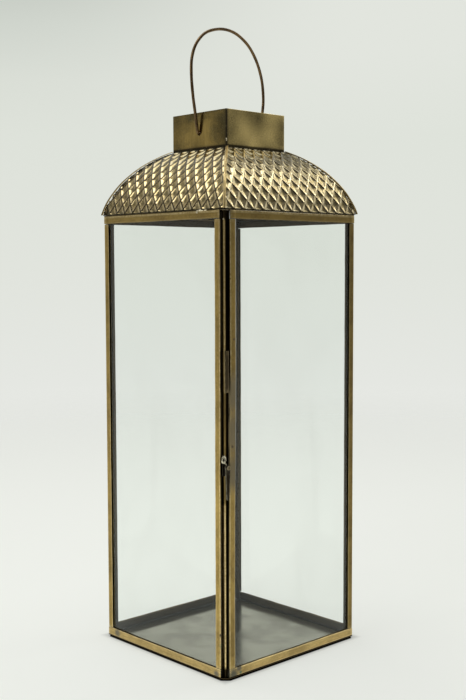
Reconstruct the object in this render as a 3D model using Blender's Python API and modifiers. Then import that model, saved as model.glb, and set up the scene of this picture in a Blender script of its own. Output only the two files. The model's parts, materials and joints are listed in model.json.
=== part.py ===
"""Square glazed lantern in antique brass: a dished, diamond-embossed hip roof,
an open square chimney, a wire bail, four glazed panels and a hinged front door.

Frame: origin at the centre of the footprint on the surface it stands on, +Z up,
the door faces -Y.  Lengths are metres, written as millimetres times MM.
"""

import math

import bmesh
import bpy
import numpy as np
from mathutils import Matrix, Vector

MM = 0.001

# ---------------------------------------------------------------- dimensions
HALF = 90.0 * MM              # half the width over the panels' outer faces
PANEL_HALF = 84.4 * MM        # half the width of one glazed panel
PANEL_DEPTH = 3.0 * MM        # depth of the folded brass channel
CHANNEL_WALL = 0.5 * MM
STILE_W = 6.5 * MM
RAIL_H = 7.5 * MM
GLASS_T = 1.4 * MM
GAP = 0.3 * MM                # clearance left at soldered or resting joints

PANEL_BOTTOM = 3.0 * MM
PANEL_TOP = 424.2 * MM

FOOT_HALF = 86.5 * MM
FOOT_W = 4.0 * MM
FOOT_H = 1.8 * MM
PLATE_Z0 = 2.1 * MM
PLATE_T = 0.6 * MM
CORNER_CLIP = 5.4 * MM        # corners of the base plate and eave ring cut off

POST_OUT = 86.3 * MM          # outer corner of the angle posts
POST_LEG = 9.0 * MM
POST_T = 1.0 * MM

RING_Z0 = 424.5 * MM
RING_T = 0.6 * MM
RING_INNER = 77.0 * MM

ROOF_R = 91.84 * MM           # radius of the roof's curve, centred on the axis
ROOF_CZ = 403.9 * MM
ROOF_EAVE_Z = 425.7 * MM
ROOF_TOP_HALF = 39.5 * MM
ROOF_T = 0.8 * MM
HIP_W = 3.2 * MM              # the hip strip's leg on one panel, and its short leg
HIP_LAP = 1.2 * MM
HIP_T = 0.5 * MM

CHIMNEY_HALF = 38.93 * MM
CHIMNEY_Z0 = 485.0 * MM
CHIMNEY_Z1 = 522.0 * MM
CHIMNEY_T = 0.8 * MM
BAIL_Z = 501.7 * MM
BAIL_R = 1.45 * MM
BAIL_HOLE_R = 1.95 * MM
BAIL_CROWN_Z = 605.0 * MM
BAIL_SPREAD = 48.1 * MM

HINGE_X = 83.4 * MM           # door pivot axis
HINGE_Y = -88.5 * MM
PIVOT_R = 0.6 * MM
PIVOT_HOLE_R = 0.85 * MM
PIVOT_RAIL_HOLE_R = 0.8 * MM

LATCH_X = -87.4 * MM          # latch pivot axis, along -Y
LATCH_Z = 195.9 * MM
LATCH_Y0 = -90.7 * MM         # back face of the swinging lever
LATCH_T = 1.0 * MM
LATCH_DROP = 29.4 * MM
STUD_R = 0.9 * MM
EYE_HOLE_R = 1.2 * MM
RING_MAJOR = 2.05 * MM
RING_MINOR = 0.75 * MM
RING_DX = -4.7 * MM
RING_DZ = 7.2 * MM

# ------------------------------------------------------------ scene, colours
for old in list(bpy.data.objects):
    bpy.data.objects.remove(old, do_unlink=True)

lantern = bpy.data.collections.new("brass_glass_lantern")
bpy.context.scene.collection.children.link(lantern)
cutters = bpy.data.collections.new("cutters")
bpy.context.scene.collection.children.link(cutters)
cutters.hide_render = True


def principled(name, colour, metallic, roughness, alpha=1.0, transmission=0.0):
    mat = bpy.data.materials.new(name)
    mat.use_nodes = True
    node = mat.node_tree.nodes["Principled BSDF"]
    node.inputs["Base Color"].default_value = (*colour, 1.0)
    node.inputs["Metallic"].default_value = metallic
    node.inputs["Roughness"].default_value = roughness
    node.inputs["Alpha"].default_value = alpha
    node.inputs["Transmission Weight"].default_value = transmission
    return mat


def brass(name):
    return principled("brass_" + name, (0.42, 0.29, 0.11), 1.0, 0.38)


def dark_brass(name):
    return principled("dark_brass_" + name, (0.16, 0.11, 0.05), 1.0, 0.5)


def embossed_brass(name):
    return principled("embossed_" + name, (0.62, 0.49, 0.26), 1.0, 0.3)


def chimney_brass(name):
    return principled("chimney_" + name, (0.33, 0.25, 0.10), 1.0, 0.33)


def tin(name):
    return principled("tin_" + name, (0.45, 0.45, 0.41), 1.0, 0.25)


def bronze(name):
    return principled("bronze_" + name, (0.12, 0.07, 0.035), 1.0, 0.4)


def clear_glass(name):
    return principled("glass_" + name, (0.93, 0.97, 0.95), 0.0, 0.03, 0.35, 1.0)


# ------------------------------------------------------------------- helpers
def empty(name, location=(0, 0, 0), turn=0.0):
    obj = bpy.data.objects.new(name, None)
    obj.location = location
    obj.rotation_euler = (0, 0, turn)
    obj.empty_display_size = 0.02
    lantern.objects.link(obj)
    return obj


def put(obj, material, parent=None, collection=None):
    (collection or lantern).objects.link(obj)
    if obj.data.materials:
        obj.data.materials[0] = material
    else:
        obj.data.materials.append(material)
    if parent is not None:
        obj.parent = parent
    return obj


def outline(name, loops, depth, material, parent=None):
    """A flat outline in the object's XY plane, thickened by depth along +Z.
    The first loop is the rim and any others are holes."""
    curve = bpy.data.curves.new(name, "CURVE")
    curve.dimensions = "2D"
    curve.fill_mode = "BOTH"
    curve.extrude = depth / 2
    for loop in loops:
        spline = curve.splines.new("POLY")
        spline.points.add(len(loop) - 1)
        for point, (x, y) in zip(spline.points, loop):
            point.co = (x, y, depth / 2, 1.0)
        spline.use_cyclic_u = True
    obj = bpy.data.objects.new(name, curve)
    return put(obj, material, parent)


def as_mesh(obj):
    """The curve object as a welded mesh object in the same place."""
    bpy.context.view_layer.update()
    graph = bpy.context.evaluated_depsgraph_get()
    mesh = bpy.data.meshes.new_from_object(obj.evaluated_get(graph))
    bm = bmesh.new()
    bm.from_mesh(mesh)
    bmesh.ops.remove_doubles(bm, verts=bm.verts, dist=1e-6)
    bmesh.ops.recalc_face_normals(bm, faces=bm.faces)
    bm.to_mesh(mesh)
    bm.free()
    name, parent = obj.name, obj.parent
    location, rotation = obj.location.copy(), obj.rotation_euler.copy()
    material = obj.data.materials[0]
    bpy.data.objects.remove(obj, do_unlink=True)
    mesh.materials.clear()
    made = bpy.data.objects.new(name, mesh)
    made.location, made.rotation_euler = location, rotation
    return put(made, material, parent)


def circle(cx, cy, r, n=16):
    return [
        (cx + r * math.cos(2 * math.pi * k / n), cy + r * math.sin(2 * math.pi * k / n))
        for k in range(n)
    ]


def clipped_square(half, clip):
    a, b = half, half - clip
    return [(a, -b), (a, b), (b, a), (-b, a), (-a, b), (-a, -b), (-b, -a), (b, -a)]


def rod(name, radius, start, end, material, parent=None, n=16, collection=None):
    start, end = Vector(start), Vector(end)
    bm = bmesh.new()
    bmesh.ops.create_cone(
        bm, cap_ends=True, segments=n, radius1=radius, radius2=radius,
        depth=(end - start).length,
    )
    turn = (end - start).to_track_quat("Z", "Y").to_matrix().to_4x4()
    bmesh.ops.transform(bm, matrix=turn, verts=bm.verts)
    mesh = bpy.data.meshes.new(name)
    bm.to_mesh(mesh)
    bm.free()
    mesh.shade_smooth()
    mesh.set_sharp_from_angle(angle=math.radians(40))
    obj = bpy.data.objects.new(name, mesh)
    obj.location = (start + end) / 2
    return put(obj, material, parent, collection)


def cutter(name, radius, start, end, n=16):
    obj = rod(name, radius, start, end, brass(name), n=n, collection=cutters)
    obj.hide_render = True
    obj.display_type = "WIRE"
    return obj


def boolean(obj, other, operation, name):
    mod = obj.modifiers.new(name, "BOOLEAN")
    mod.operation = operation
    mod.object = other
    mod.solver = "EXACT"
    return mod


# --------------------------------------------------------------- foot, plate
foot = outline(
    "foot_rim",
    [clipped_square(FOOT_HALF, 3.0 * MM), clipped_square(FOOT_HALF - FOOT_W, 2.0 * MM)],
    FOOT_H, dark_brass("foot_rim"),
)
plate = outline(
    "base_plate",
    [clipped_square(HALF, CORNER_CLIP), circle(HINGE_X, HINGE_Y, PIVOT_HOLE_R)],
    PLATE_T, tin("base_plate"),
)
plate.location.z = PLATE_Z0

# --------------------------------------------------------------- angle posts
POST_Z0 = PLATE_Z0 + PLATE_T + GAP
POST_LEN = RING_Z0 - GAP - POST_Z0


def corner_post(name, sx, sy):
    """An angle post with its outer corner towards (sx, sy)."""
    o, l, t = POST_OUT, POST_LEG, POST_T
    loop = [(o, o), (o - l, o), (o - l, o - t), (o - t, o - t), (o - t, o - l), (o, o - l)]
    loop = [(sx * x, sy * y) for x, y in loop]
    if sx * sy < 0:
        loop.reverse()
    post = outline(name, [loop], POST_LEN, brass(name))
    post.location.z = POST_Z0
    return post


corner_post("corner_post_front_left", -1, -1)
corner_post("corner_post_front_right", 1, -1)
corner_post("corner_post_back_left", -1, 1)
corner_post("corner_post_back_right", 1, 1)

# ------------------------------------------------------------- glazed panels
PANEL_H = PANEL_TOP - PANEL_BOTTOM
STILE_LEN = PANEL_H - 2 * (RAIL_H + GAP)
GLASS_EDGE = CHANNEL_WALL + GAP


def channel_profile(width):
    """A folded channel, open towards +X; its web is at x = 0."""
    w, d, t = width, PANEL_DEPTH, CHANNEL_WALL
    return [(0, 0), (w, 0), (w, t), (t, t), (t, d - t), (w, d - t), (w, d), (0, d)]


def stile(name, parent, side):
    """An upright at the panel's left (side -1) or right (side +1) edge."""
    loop = channel_profile(STILE_W)
    if side > 0:
        loop = [(-x, y) for x, y in reversed(loop)]
    obj = outline(name, [loop], STILE_LEN, brass(name), parent)
    obj.location = (side * PANEL_HALF, 0, PANEL_BOTTOM + RAIL_H + GAP)
    return obj


def rail(name, parent, side):
    """A rail at the panel's foot (side -1) or head (side +1)."""
    loop = channel_profile(RAIL_H)
    if side > 0:
        loop = [(-x, y) for x, y in reversed(loop)]
    obj = outline(name, [loop], 2 * PANEL_HALF, brass(name), parent)
    # local X becomes world Z, local Z becomes world -X
    obj.rotation_euler = (0, -math.pi / 2, 0)
    obj.location = (
        PANEL_HALF, 0, PANEL_BOTTOM if side < 0 else PANEL_TOP,
    )
    return obj


def pane(name, parent, right_edge=None):
    left = -(PANEL_HALF - GLASS_EDGE)
    right = -left if right_edge is None else right_edge
    low = PANEL_BOTTOM + GLASS_EDGE
    high = PANEL_TOP - GLASS_EDGE
    loop = [(left, low), (right, low), (right, high), (left, high)]
    obj = outline(name, [loop], GLASS_T, clear_glass(name), parent)
    # local Y becomes world Z, local Z becomes world -Y
    obj.rotation_euler = (math.pi / 2, 0, 0)
    obj.location = (0, (PANEL_DEPTH + GLASS_T) / 2, 0)
    return obj


def glazed_panel(prefix, parent, left_name, right_name, right_edge=None):
    return (
        stile(f"{prefix}_{left_name}_stile", parent, -1),
        stile(f"{prefix}_{right_name}_stile", parent, 1),
        rail(f"{prefix}_bottom_rail", parent, -1),
        rail(f"{prefix}_top_rail", parent, 1),
        pane(f"{prefix}_glass", parent, right_edge),
    )


right_face = empty("right_face", (HALF, 0, 0), math.pi / 2)
back_face = empty("back_face", (0, HALF, 0), math.pi)
left_face = empty("left_face", (-HALF, 0, 0), -math.pi / 2)
glazed_panel("right_panel", right_face, "front", "back")
glazed_panel("back_panel", back_face, "right", "left")
glazed_panel("left_panel", left_face, "back", "front")

# the door turns about an empty on its pivot axis
door_pivot = empty("door_pivot", (HINGE_X, HINGE_Y, 0))
door_face = empty("door_face", (-HINGE_X, -HALF - HINGE_Y, 0))
door_face.parent = door_pivot
door = glazed_panel("door", door_face, "latch", "hinge", right_edge=81.5 * MM)

door_rails = {}
for index, key in ((2, "bottom"), (3, "top")):
    door_rails[key] = as_mesh(door[index])
    hole = cutter(
        f"pivot_hole_{key}", PIVOT_RAIL_HOLE_R,
        (HINGE_X, HINGE_Y, 0 if key == "bottom" else 420 * MM),
        (HINGE_X, HINGE_Y, 6 * MM if key == "bottom" else 430 * MM),
    )
    boolean(door_rails[key], hole, "DIFFERENCE", "pivot hole")

rod(
    "door_pivot_bottom", PIVOT_R, (0, 0, 0.9 * MM), (0, 0, 10.0 * MM),
    dark_brass("door_pivot_bottom"), door_pivot, n=12,
)
rod(
    "door_pivot_top", PIVOT_R, (0, 0, 417.2 * MM), (0, 0, 425.0 * MM),
    dark_brass("door_pivot_top"), door_pivot, n=12,
)

# ----------------------------------------------------------------- eave ring
r = RING_INNER
ring = outline(
    "eave_ring",
    [
        clipped_square(HALF, CORNER_CLIP),
        [(r, -r), (r, r), (-r, r), (-r, -r)],
        circle(HINGE_X, HINGE_Y, PIVOT_HOLE_R),
    ],
    RING_T, brass("eave_ring"),
)
ring.location.z = RING_Z0

# ---------------------------------------------------------------------- roof
THETA_EAVE = math.acos((ROOF_EAVE_Z - ROOF_CZ) / ROOF_R)
THETA_TOP = math.asin(ROOF_TOP_HALF / ROOF_R)
ROOF_STEPS = 12


def roof_point(theta, lift=0.0):
    """(half-width, height) of the roof's outer skin, lifted off it by lift."""
    radius = ROOF_R + lift
    return radius * math.sin(theta), ROOF_CZ + radius * math.cos(theta)


def strip_grid(across, place):
    """A grid of across x ROOF_STEPS faces whose corners are set by place(i, theta)."""
    bm = bmesh.new()
    bmesh.ops.create_grid(bm, x_segments=across, y_segments=ROOF_STEPS, size=1.0)
    for vert in bm.verts:
        column = round((vert.co.x + 1) / 2 * across)
        along = (vert.co.y + 1) / 2
        vert.co = place(column, THETA_EAVE + (THETA_TOP - THETA_EAVE) * along)
    return bm


def skin(name, bm, thickness, offset, material, parent):
    """The open surface thickened: offset -1 goes inwards, +1 goes outwards."""
    mesh = bpy.data.meshes.new(name)
    bm.to_mesh(mesh)
    bm.free()
    mesh.shade_smooth()
    mesh.set_sharp_from_angle(angle=math.radians(30))
    obj = bpy.data.objects.new(name, mesh)
    put(obj, material, parent)
    mod = obj.modifiers.new("sheet", "SOLIDIFY")
    mod.thickness = thickness
    mod.offset = offset
    mod.use_even_offset = True
    return obj


MITRE = ROOF_T + 0.3 * MM


def roof_panel(name, parent):
    def place(column, theta):
        half, height = roof_point(theta)
        return Vector(((2 * column - 1) * (half - MITRE), -half, height))

    return skin(name, strip_grid(1, place), ROOF_T, -1, embossed_brass(name), parent)


def hip_seam(name, parent):
    """An angle strip over the joint at the local (-X, -Y) hip."""
    def place(column, theta):
        half, height = roof_point(theta, 0.3 * MM)
        shift = ((0, HIP_LAP), (0, 0), (HIP_W, 0))[column]
        return Vector((-half + shift[0], -half + shift[1], height))

    return skin(name, strip_grid(2, place), HIP_T, 1, brass(name), parent)


for side, turn, hip in (
    ("front", 0.0, "front_left"),
    ("right", math.pi / 2, "front_right"),
    ("back", math.pi, "back_right"),
    ("left", -math.pi / 2, "back_left"),
):
    roof_side = empty(f"roof_{side}", (0, 0, 0), turn)
    roof_panel(f"roof_panel_{side}", roof_side)
    hip_seam(f"hip_seam_{hip}", roof_side)

# ------------------------------------------------------------------- chimney
h, t, g = CHIMNEY_HALF, CHIMNEY_T, 0.3 * MM
chimney = outline(
    "chimney",
    [[
        (-h, -h), (h, -h), (h, h), (-h, h), (-h, -h + t + g), (-h + t, -h + t + g),
        (-h + t, h - t), (h - t, h - t), (h - t, -h + t), (-h, -h + t),
    ]],
    CHIMNEY_Z1 - CHIMNEY_Z0, chimney_brass("chimney"),
)
chimney.location.z = CHIMNEY_Z0
chimney = as_mesh(chimney)
boolean(
    chimney,
    cutter("bail_holes", BAIL_HOLE_R, (-60 * MM, 0, BAIL_Z), (60 * MM, 0, BAIL_Z), n=20),
    "DIFFERENCE", "bail holes",
)

# ---------------------------------------------------------------------- bail
bail_pivot = empty("bail_pivot", (0, 0, BAIL_Z))
S, TOP = BAIL_SPREAD / MM, (BAIL_CROWN_Z - BAIL_Z) / MM
# (x, z) about the pivot axis: the ends turn in through the chimney's holes and
# drop a little inside it, the legs swell outwards, and the crown is a round
# arch that leans a touch to the left.
BAIL_LINE = [
    (-34.6, -4.4), (-34.9, -2.0), (-36.3, -0.25), (-38.3, 0.0), (-39.6, 0.35),
    (-40.7, 1.9), (-41.5, 7.0), (-43.9, 21.5), (-46.4, 36.0), (-S, 54.0),
    (-47.2, 71.0), (-41.6, 85.0), (-30.5, 96.2), (-16.0, TOP - 1.4), (-1.5, TOP),
    (13.0, TOP - 3.0), (27.5, TOP - 11.8), (39.0, TOP - 26.0), (45.9, TOP - 42.5),
    (S, TOP - 60.0), (47.2, 30.5), (44.2, 14.5), (41.4, 3.6), (40.0, 0.5),
    (38.3, 0.0), (36.3, -0.25), (34.9, -2.0), (34.6, -4.4),
]


def smooth_line(points, per_span):
    """Points along the Catmull-Rom curve through the given ones."""
    p = np.array(points, float)
    p = np.vstack([2 * p[0] - p[1], p, 2 * p[-1] - p[-2]])
    out = []
    for i in range(1, len(p) - 2):
        span = float(np.linalg.norm(p[i + 1] - p[i]))
        n = max(1, round(span / per_span))
        for k in range(n):
            s = k / n
            out.append(0.5 * (
                2 * p[i] + (p[i + 1] - p[i - 1]) * s
                + (2 * p[i - 1] - 5 * p[i] + 4 * p[i + 1] - p[i + 2]) * s * s
                + (3 * p[i] - p[i - 1] - 3 * p[i + 1] + p[i + 2]) * s ** 3
            ))
    out.append(p[-2])
    return out


wire = bpy.data.curves.new("bail_handle", "CURVE")
wire.dimensions = "3D"
wire.bevel_depth = BAIL_R
wire.bevel_resolution = 2
wire.use_fill_caps = True
line = smooth_line(BAIL_LINE, 6.5)
spline = wire.splines.new("POLY")
spline.points.add(len(line) - 1)
for point, (x, z) in zip(spline.points, line):
    point.co = (x * MM, 0, z * MM, 1.0)
bail = bpy.data.objects.new("bail_handle", wire)
put(bail, bronze("bail_handle"), bail_pivot)

# --------------------------------------------------------------------- latch
# a bracket on the front left post carries a headed stud; the lever hangs on it
bracket = outline(
    "latch_bracket",
    [[
        (-89.6 * MM, LATCH_Z - 8 * MM), (-84.9 * MM, LATCH_Z - 8 * MM),
        (-84.9 * MM, LATCH_Z + 8 * MM), (-89.6 * MM, LATCH_Z + 8 * MM),
    ]],
    0.8 * MM, brass("latch_bracket"),
)
bracket.rotation_euler = (math.pi / 2, 0, 0)
bracket.location = (0, -POST_OUT - GAP, 0)
bracket = as_mesh(bracket)
stud = rod(
    "latch_stud_blank", STUD_R, (LATCH_X, -87.0 * MM, LATCH_Z),
    (LATCH_X, -92.4 * MM, LATCH_Z), brass("latch_stud_blank"), collection=cutters,
)
head = rod(
    "latch_head_blank", 2.1 * MM, (LATCH_X, -92.0 * MM, LATCH_Z),
    (LATCH_X, -92.9 * MM, LATCH_Z), brass("latch_head_blank"), collection=cutters, n=20,
)
for blank in (stud, head):
    blank.hide_render = True
    blank.display_type = "WIRE"
boolean(bracket, stud, "UNION", "stud")
boolean(bracket, head, "UNION", "head")

# a short folded clip stands in the same corner, higher up
clip = outline(
    "corner_clip",
    [[
        (-90.0 * MM, -91.0 * MM), (-85.3 * MM, -91.0 * MM), (-85.3 * MM, -86.6 * MM),
        (-86.3 * MM, -86.6 * MM), (-86.3 * MM, -90.2 * MM), (-90.0 * MM, -90.2 * MM),
    ]],
    37.0 * MM, dark_brass("corner_clip"),
)
clip.location.z = 263.0 * MM

latch_pivot = empty("latch_pivot", (LATCH_X, LATCH_Y0, LATCH_Z))


def lever_outline():
    """A round eye drawn out into a tapered, round-ended tongue that hangs down."""
    r0, r1, drop = 2.6 * MM, 1.5 * MM, LATCH_DROP - 1.5 * MM
    tilt = math.asin((r0 - r1) / drop)
    points = []
    for k in range(15):
        a = -tilt + (math.pi + 2 * tilt) * k / 14
        points.append((r0 * math.cos(a), r0 * math.sin(a)))
    for k in range(9):
        a = math.pi + tilt + (math.pi - 2 * tilt) * k / 8
        points.append((r1 * math.cos(a), -drop + r1 * math.sin(a)))
    return points


lever = outline(
    "latch_lever", [lever_outline(), circle(0, 0, EYE_HOLE_R)], LATCH_T,
    dark_brass("latch_lever"), latch_pivot,
)
lever.rotation_euler = (math.pi / 2, 0, 0)
lever = as_mesh(lever)
bm = bmesh.new()
around, about = 20, 10
bmesh.ops.create_circle(bm, segments=about, radius=RING_MINOR)
bmesh.ops.translate(bm, verts=bm.verts, vec=(RING_MAJOR, 0, 0))
bmesh.ops.rotate(
    bm, verts=bm.verts, cent=(RING_MAJOR, 0, 0), matrix=Matrix.Rotation(math.pi / 2, 3, "X")
)
bmesh.ops.spin(
    bm, geom=bm.verts[:] + bm.edges[:], cent=(0, 0, 0), axis=(0, 0, 1),
    angle=2 * math.pi, steps=around,
)
bmesh.ops.remove_doubles(bm, verts=bm.verts, dist=1e-6)
bmesh.ops.recalc_face_normals(bm, faces=bm.faces)
bmesh.ops.rotate(
    bm, verts=bm.verts, cent=(0, 0, 0), matrix=Matrix.Rotation(math.pi / 2, 3, "X")
)
mesh = bpy.data.meshes.new("thumb_ring_blank")
bm.to_mesh(mesh)
bm.free()
thumb = bpy.data.objects.new("thumb_ring_blank", mesh)
thumb.location = (LATCH_X + RING_DX, LATCH_Y0 - LATCH_T / 2, LATCH_Z + RING_DZ)
put(thumb, brass("thumb_ring_blank"), collection=cutters)
reach = math.hypot(RING_DX, RING_DZ)
ux, uz = RING_DX / reach, RING_DZ / reach
neck = rod(
    "latch_neck_blank", 0.7 * MM,
    (LATCH_X + ux * 2.2 * MM, LATCH_Y0 - LATCH_T / 2, LATCH_Z + uz * 2.2 * MM),
    (
        LATCH_X + ux * (reach - RING_MAJOR), LATCH_Y0 - LATCH_T / 2,
        LATCH_Z + uz * (reach - RING_MAJOR),
    ),
    brass("latch_neck_blank"), collection=cutters, n=10,
)
for blank in (thumb, neck):
    blank.hide_render = True
    blank.display_type = "WIRE"
boolean(lever, neck, "UNION", "neck")
boolean(lever, thumb, "UNION", "thumb ring")
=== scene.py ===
"""Square antique-brass and glass lantern: the finished model, built over the CAD frame."""

import json
import math
import random

import bmesh
import bpy
import numpy as np
from mathutils import Matrix, Vector

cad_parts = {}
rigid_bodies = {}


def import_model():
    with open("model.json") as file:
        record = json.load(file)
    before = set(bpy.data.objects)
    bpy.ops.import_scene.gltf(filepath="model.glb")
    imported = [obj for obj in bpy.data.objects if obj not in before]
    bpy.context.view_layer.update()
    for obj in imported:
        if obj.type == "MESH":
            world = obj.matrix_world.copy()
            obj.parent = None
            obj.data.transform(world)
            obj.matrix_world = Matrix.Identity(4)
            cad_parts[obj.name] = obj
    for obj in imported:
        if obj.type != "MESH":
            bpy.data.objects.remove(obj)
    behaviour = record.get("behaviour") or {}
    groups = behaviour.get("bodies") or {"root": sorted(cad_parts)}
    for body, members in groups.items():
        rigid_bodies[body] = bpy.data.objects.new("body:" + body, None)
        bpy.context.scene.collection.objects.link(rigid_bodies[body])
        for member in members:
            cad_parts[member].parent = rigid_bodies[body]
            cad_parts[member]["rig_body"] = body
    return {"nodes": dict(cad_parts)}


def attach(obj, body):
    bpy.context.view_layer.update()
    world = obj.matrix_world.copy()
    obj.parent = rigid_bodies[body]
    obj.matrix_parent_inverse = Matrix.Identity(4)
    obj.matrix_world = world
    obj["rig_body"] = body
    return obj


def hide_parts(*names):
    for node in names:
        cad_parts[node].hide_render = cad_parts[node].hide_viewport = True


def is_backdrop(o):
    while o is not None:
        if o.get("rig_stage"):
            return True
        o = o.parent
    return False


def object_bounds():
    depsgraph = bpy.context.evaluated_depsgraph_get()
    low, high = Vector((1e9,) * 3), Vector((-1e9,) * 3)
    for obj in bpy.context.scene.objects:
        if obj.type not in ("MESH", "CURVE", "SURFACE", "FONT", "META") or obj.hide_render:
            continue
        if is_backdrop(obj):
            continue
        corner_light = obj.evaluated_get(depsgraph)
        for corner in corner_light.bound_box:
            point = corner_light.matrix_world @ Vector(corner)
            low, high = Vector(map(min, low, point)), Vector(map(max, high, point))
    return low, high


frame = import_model()
bounds_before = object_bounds()
MM = 0.001
scene = bpy.context.scene


# ---------------------------------------------------------------- materials
class Shader:
    """A material and short ways to add nodes to it."""

    def __init__(self, name):
        self.mat = bpy.data.materials.new(name)
        self.mat.use_nodes = True
        self.tree = self.mat.node_tree
        self.tree.nodes.clear()
        self.out = self.node("ShaderNodeOutputMaterial")
        self.place = self.node("ShaderNodeTexCoord").outputs["Object"]

    def node(self, kind, **props):
        made = self.tree.nodes.new(kind)
        for key, value in props.items():
            setattr(made, key, value)
        return made

    def put(self, socket, value):
        if isinstance(value, bpy.types.NodeSocket):
            self.tree.links.new(value, socket)
        elif isinstance(value, (tuple, list)) and len(value) == 3 and socket.type == "RGBA":
            socket.default_value = (*value, 1.0)
        else:
            socket.default_value = value

    def scaled(self, scale):
        made = self.node("ShaderNodeMapping")
        self.put(made.inputs["Vector"], self.place)
        made.inputs["Scale"].default_value = scale
        return made.outputs["Vector"]

    def noise(self, scale, detail=4.0, rough=0.55, stretch=None, warp=0.0):
        made = self.node("ShaderNodeTexNoise")
        self.put(made.inputs["Vector"], self.scaled(stretch) if stretch else self.place)
        made.inputs["Scale"].default_value = scale
        made.inputs["Detail"].default_value = detail
        made.inputs["Roughness"].default_value = rough
        made.inputs["Distortion"].default_value = warp
        return made.outputs["Fac"]

    def attribute(self, name):
        made = self.node("ShaderNodeAttribute")
        made.attribute_type = "GEOMETRY"
        made.attribute_name = name
        return made.outputs["Fac"]

    def math(self, operation, a, b=0.0, clamp=False):
        made = self.node("ShaderNodeMath", operation=operation, use_clamp=clamp)
        self.put(made.inputs[0], a)
        self.put(made.inputs[1], b)
        return made.outputs[0]

    def remap(self, value, low, high, to_low=0.0, to_high=1.0):
        made = self.node("ShaderNodeMapRange", interpolation_type="SMOOTHSTEP")
        self.put(made.inputs["Value"], value)
        made.inputs["From Min"].default_value = low
        made.inputs["From Max"].default_value = high
        made.inputs["To Min"].default_value = to_low
        made.inputs["To Max"].default_value = to_high
        return made.outputs["Result"]

    def mix(self, factor, a, b, blend="MIX"):
        made = self.node("ShaderNodeMix", data_type="RGBA", blend_type=blend)
        self.put(made.inputs[0], factor)
        self.put(made.inputs[6], a)
        self.put(made.inputs[7], b)
        return made.outputs[2]

    def near(self, centre, radius, soft=0.5):
        """1 inside a ball round centre (mm), falling to 0 at its edge."""
        made = self.node("ShaderNodeVectorMath", operation="DISTANCE")
        self.put(made.inputs[0], self.place)
        made.inputs[1].default_value = [c * MM for c in centre]
        rough = self.math("MULTIPLY", self.noise(900.0, 3.0), radius * MM * 0.9)
        away = self.math("ADD", made.outputs["Value"], rough)
        return self.remap(away, radius * MM * (1 - soft) * 1.4, radius * MM * 1.4, 1.0, 0.0)

    def bump(self, height, distance, strength=1.0, normal=None):
        made = self.node("ShaderNodeBump")
        self.put(made.inputs["Height"], height)
        made.inputs["Distance"].default_value = distance
        made.inputs["Strength"].default_value = strength
        if normal is not None:
            self.put(made.inputs["Normal"], normal)
        return made.outputs["Normal"]

    def surface(self, colour, metallic, roughness, normal=None, coat=0.0):
        made = self.node("ShaderNodeBsdfPrincipled")
        self.put(made.inputs["Base Color"], colour)
        self.put(made.inputs["Metallic"], metallic)
        self.put(made.inputs["Roughness"], roughness)
        made.inputs["Coat Weight"].default_value = coat
        made.inputs["Coat Roughness"].default_value = 0.25
        if normal is not None:
            self.put(made.inputs["Normal"], normal)
        self.put(self.out.inputs["Surface"], made.outputs[0])
        return self.mat


def brass(name, base=(0.54, 0.375, 0.118), dark=(0.15, 0.10, 0.04), worn=(0.97, 0.77, 0.39),
          inside=(0.12, 0.105, 0.08), rough=0.34, grain=(1, 1, 0.06), tarnish=0.5,
          spots=(), bright=1.0):
    """Antique brass: cloudy tarnish, rubbed edges that on some pieces carry painted highlights, brushed grain, small
    dark spots, painted shade on inner faces and in recesses, and a painted light level (bright).
    Each spot is (centre in mm, radius in mm, colour)."""
    s = Shader(name)
    cloud = s.noise(38.0, 5.0, 0.6)
    fine = s.noise(420.0, 4.0, 0.6)
    streak = s.noise(900.0, 3.0, 0.55, stretch=grain)
    edge = s.attribute("edge")
    within = s.attribute("inside")
    patchy = s.math("ADD", s.math("MULTIPLY", cloud, 0.65), s.math("MULTIPLY", fine, 0.35))
    shade = s.remap(patchy, 0.38, 0.66, 0.0, 1.0)
    # bright scales every colour: a painted light level, giving lit and shaded copies of one brass
    colour = s.mix(s.math("MULTIPLY", shade, tarnish), [c * bright for c in base], [c * bright for c in dark])
    rub_and_light = s.math("MULTIPLY", edge, s.remap(fine, 0.34, 0.62, 0.35, 1.0))
    # worn colour on rubbed edges; on some pieces the edge mark is a painted highlight
    colour = s.mix(rub_and_light, colour, [c * bright for c in worn])
    pits = s.noise(1500.0, 2.0, 0.5)
    pit = s.remap(pits, 0.66, 0.74)
    colour = s.mix(s.math("MULTIPLY", pit, 0.5), colour, [c * 0.6 for c in dark])
    colour = s.mix(s.remap(streak, 0.35, 0.70, 0.0, 0.5), colour, [c * 0.45 for c in base])
    # inner faces painted dark: painted shade
    colour = s.mix(s.math("MULTIPLY", within, 0.85), colour, inside)
    # the recess mark paints near-black shade into notches, gaps and down-facing lips
    colour = s.mix(s.math("MULTIPLY", s.attribute("recess"), 0.96), colour, (0.012, 0.009, 0.006))
    roughness = s.remap(patchy, 0.3, 0.7, rough - 0.06, rough + 0.14)
    roughness = s.math("SUBTRACT", roughness, s.math("MULTIPLY", rub_and_light, 0.06))
    metal = 1.0
    if spots:
        metal = s.math("ADD", 1.0, 0.0)
    for centre, radius, tint in spots:
        mask = s.near(centre, radius)
        colour = s.mix(mask, colour, tint)
        roughness = s.math("ADD", roughness, s.math("MULTIPLY", mask, 0.25), clamp=True)
        metal = s.math("SUBTRACT", metal, s.math("MULTIPLY", mask, 0.55), clamp=True)
    dents = s.noise(120.0, 2.0, 0.5)
    normal = s.bump(dents, 0.00025, 0.5)
    normal = s.bump(streak, 0.00002, 0.5, normal)
    return s.surface(colour, metal, roughness, normal)


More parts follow.
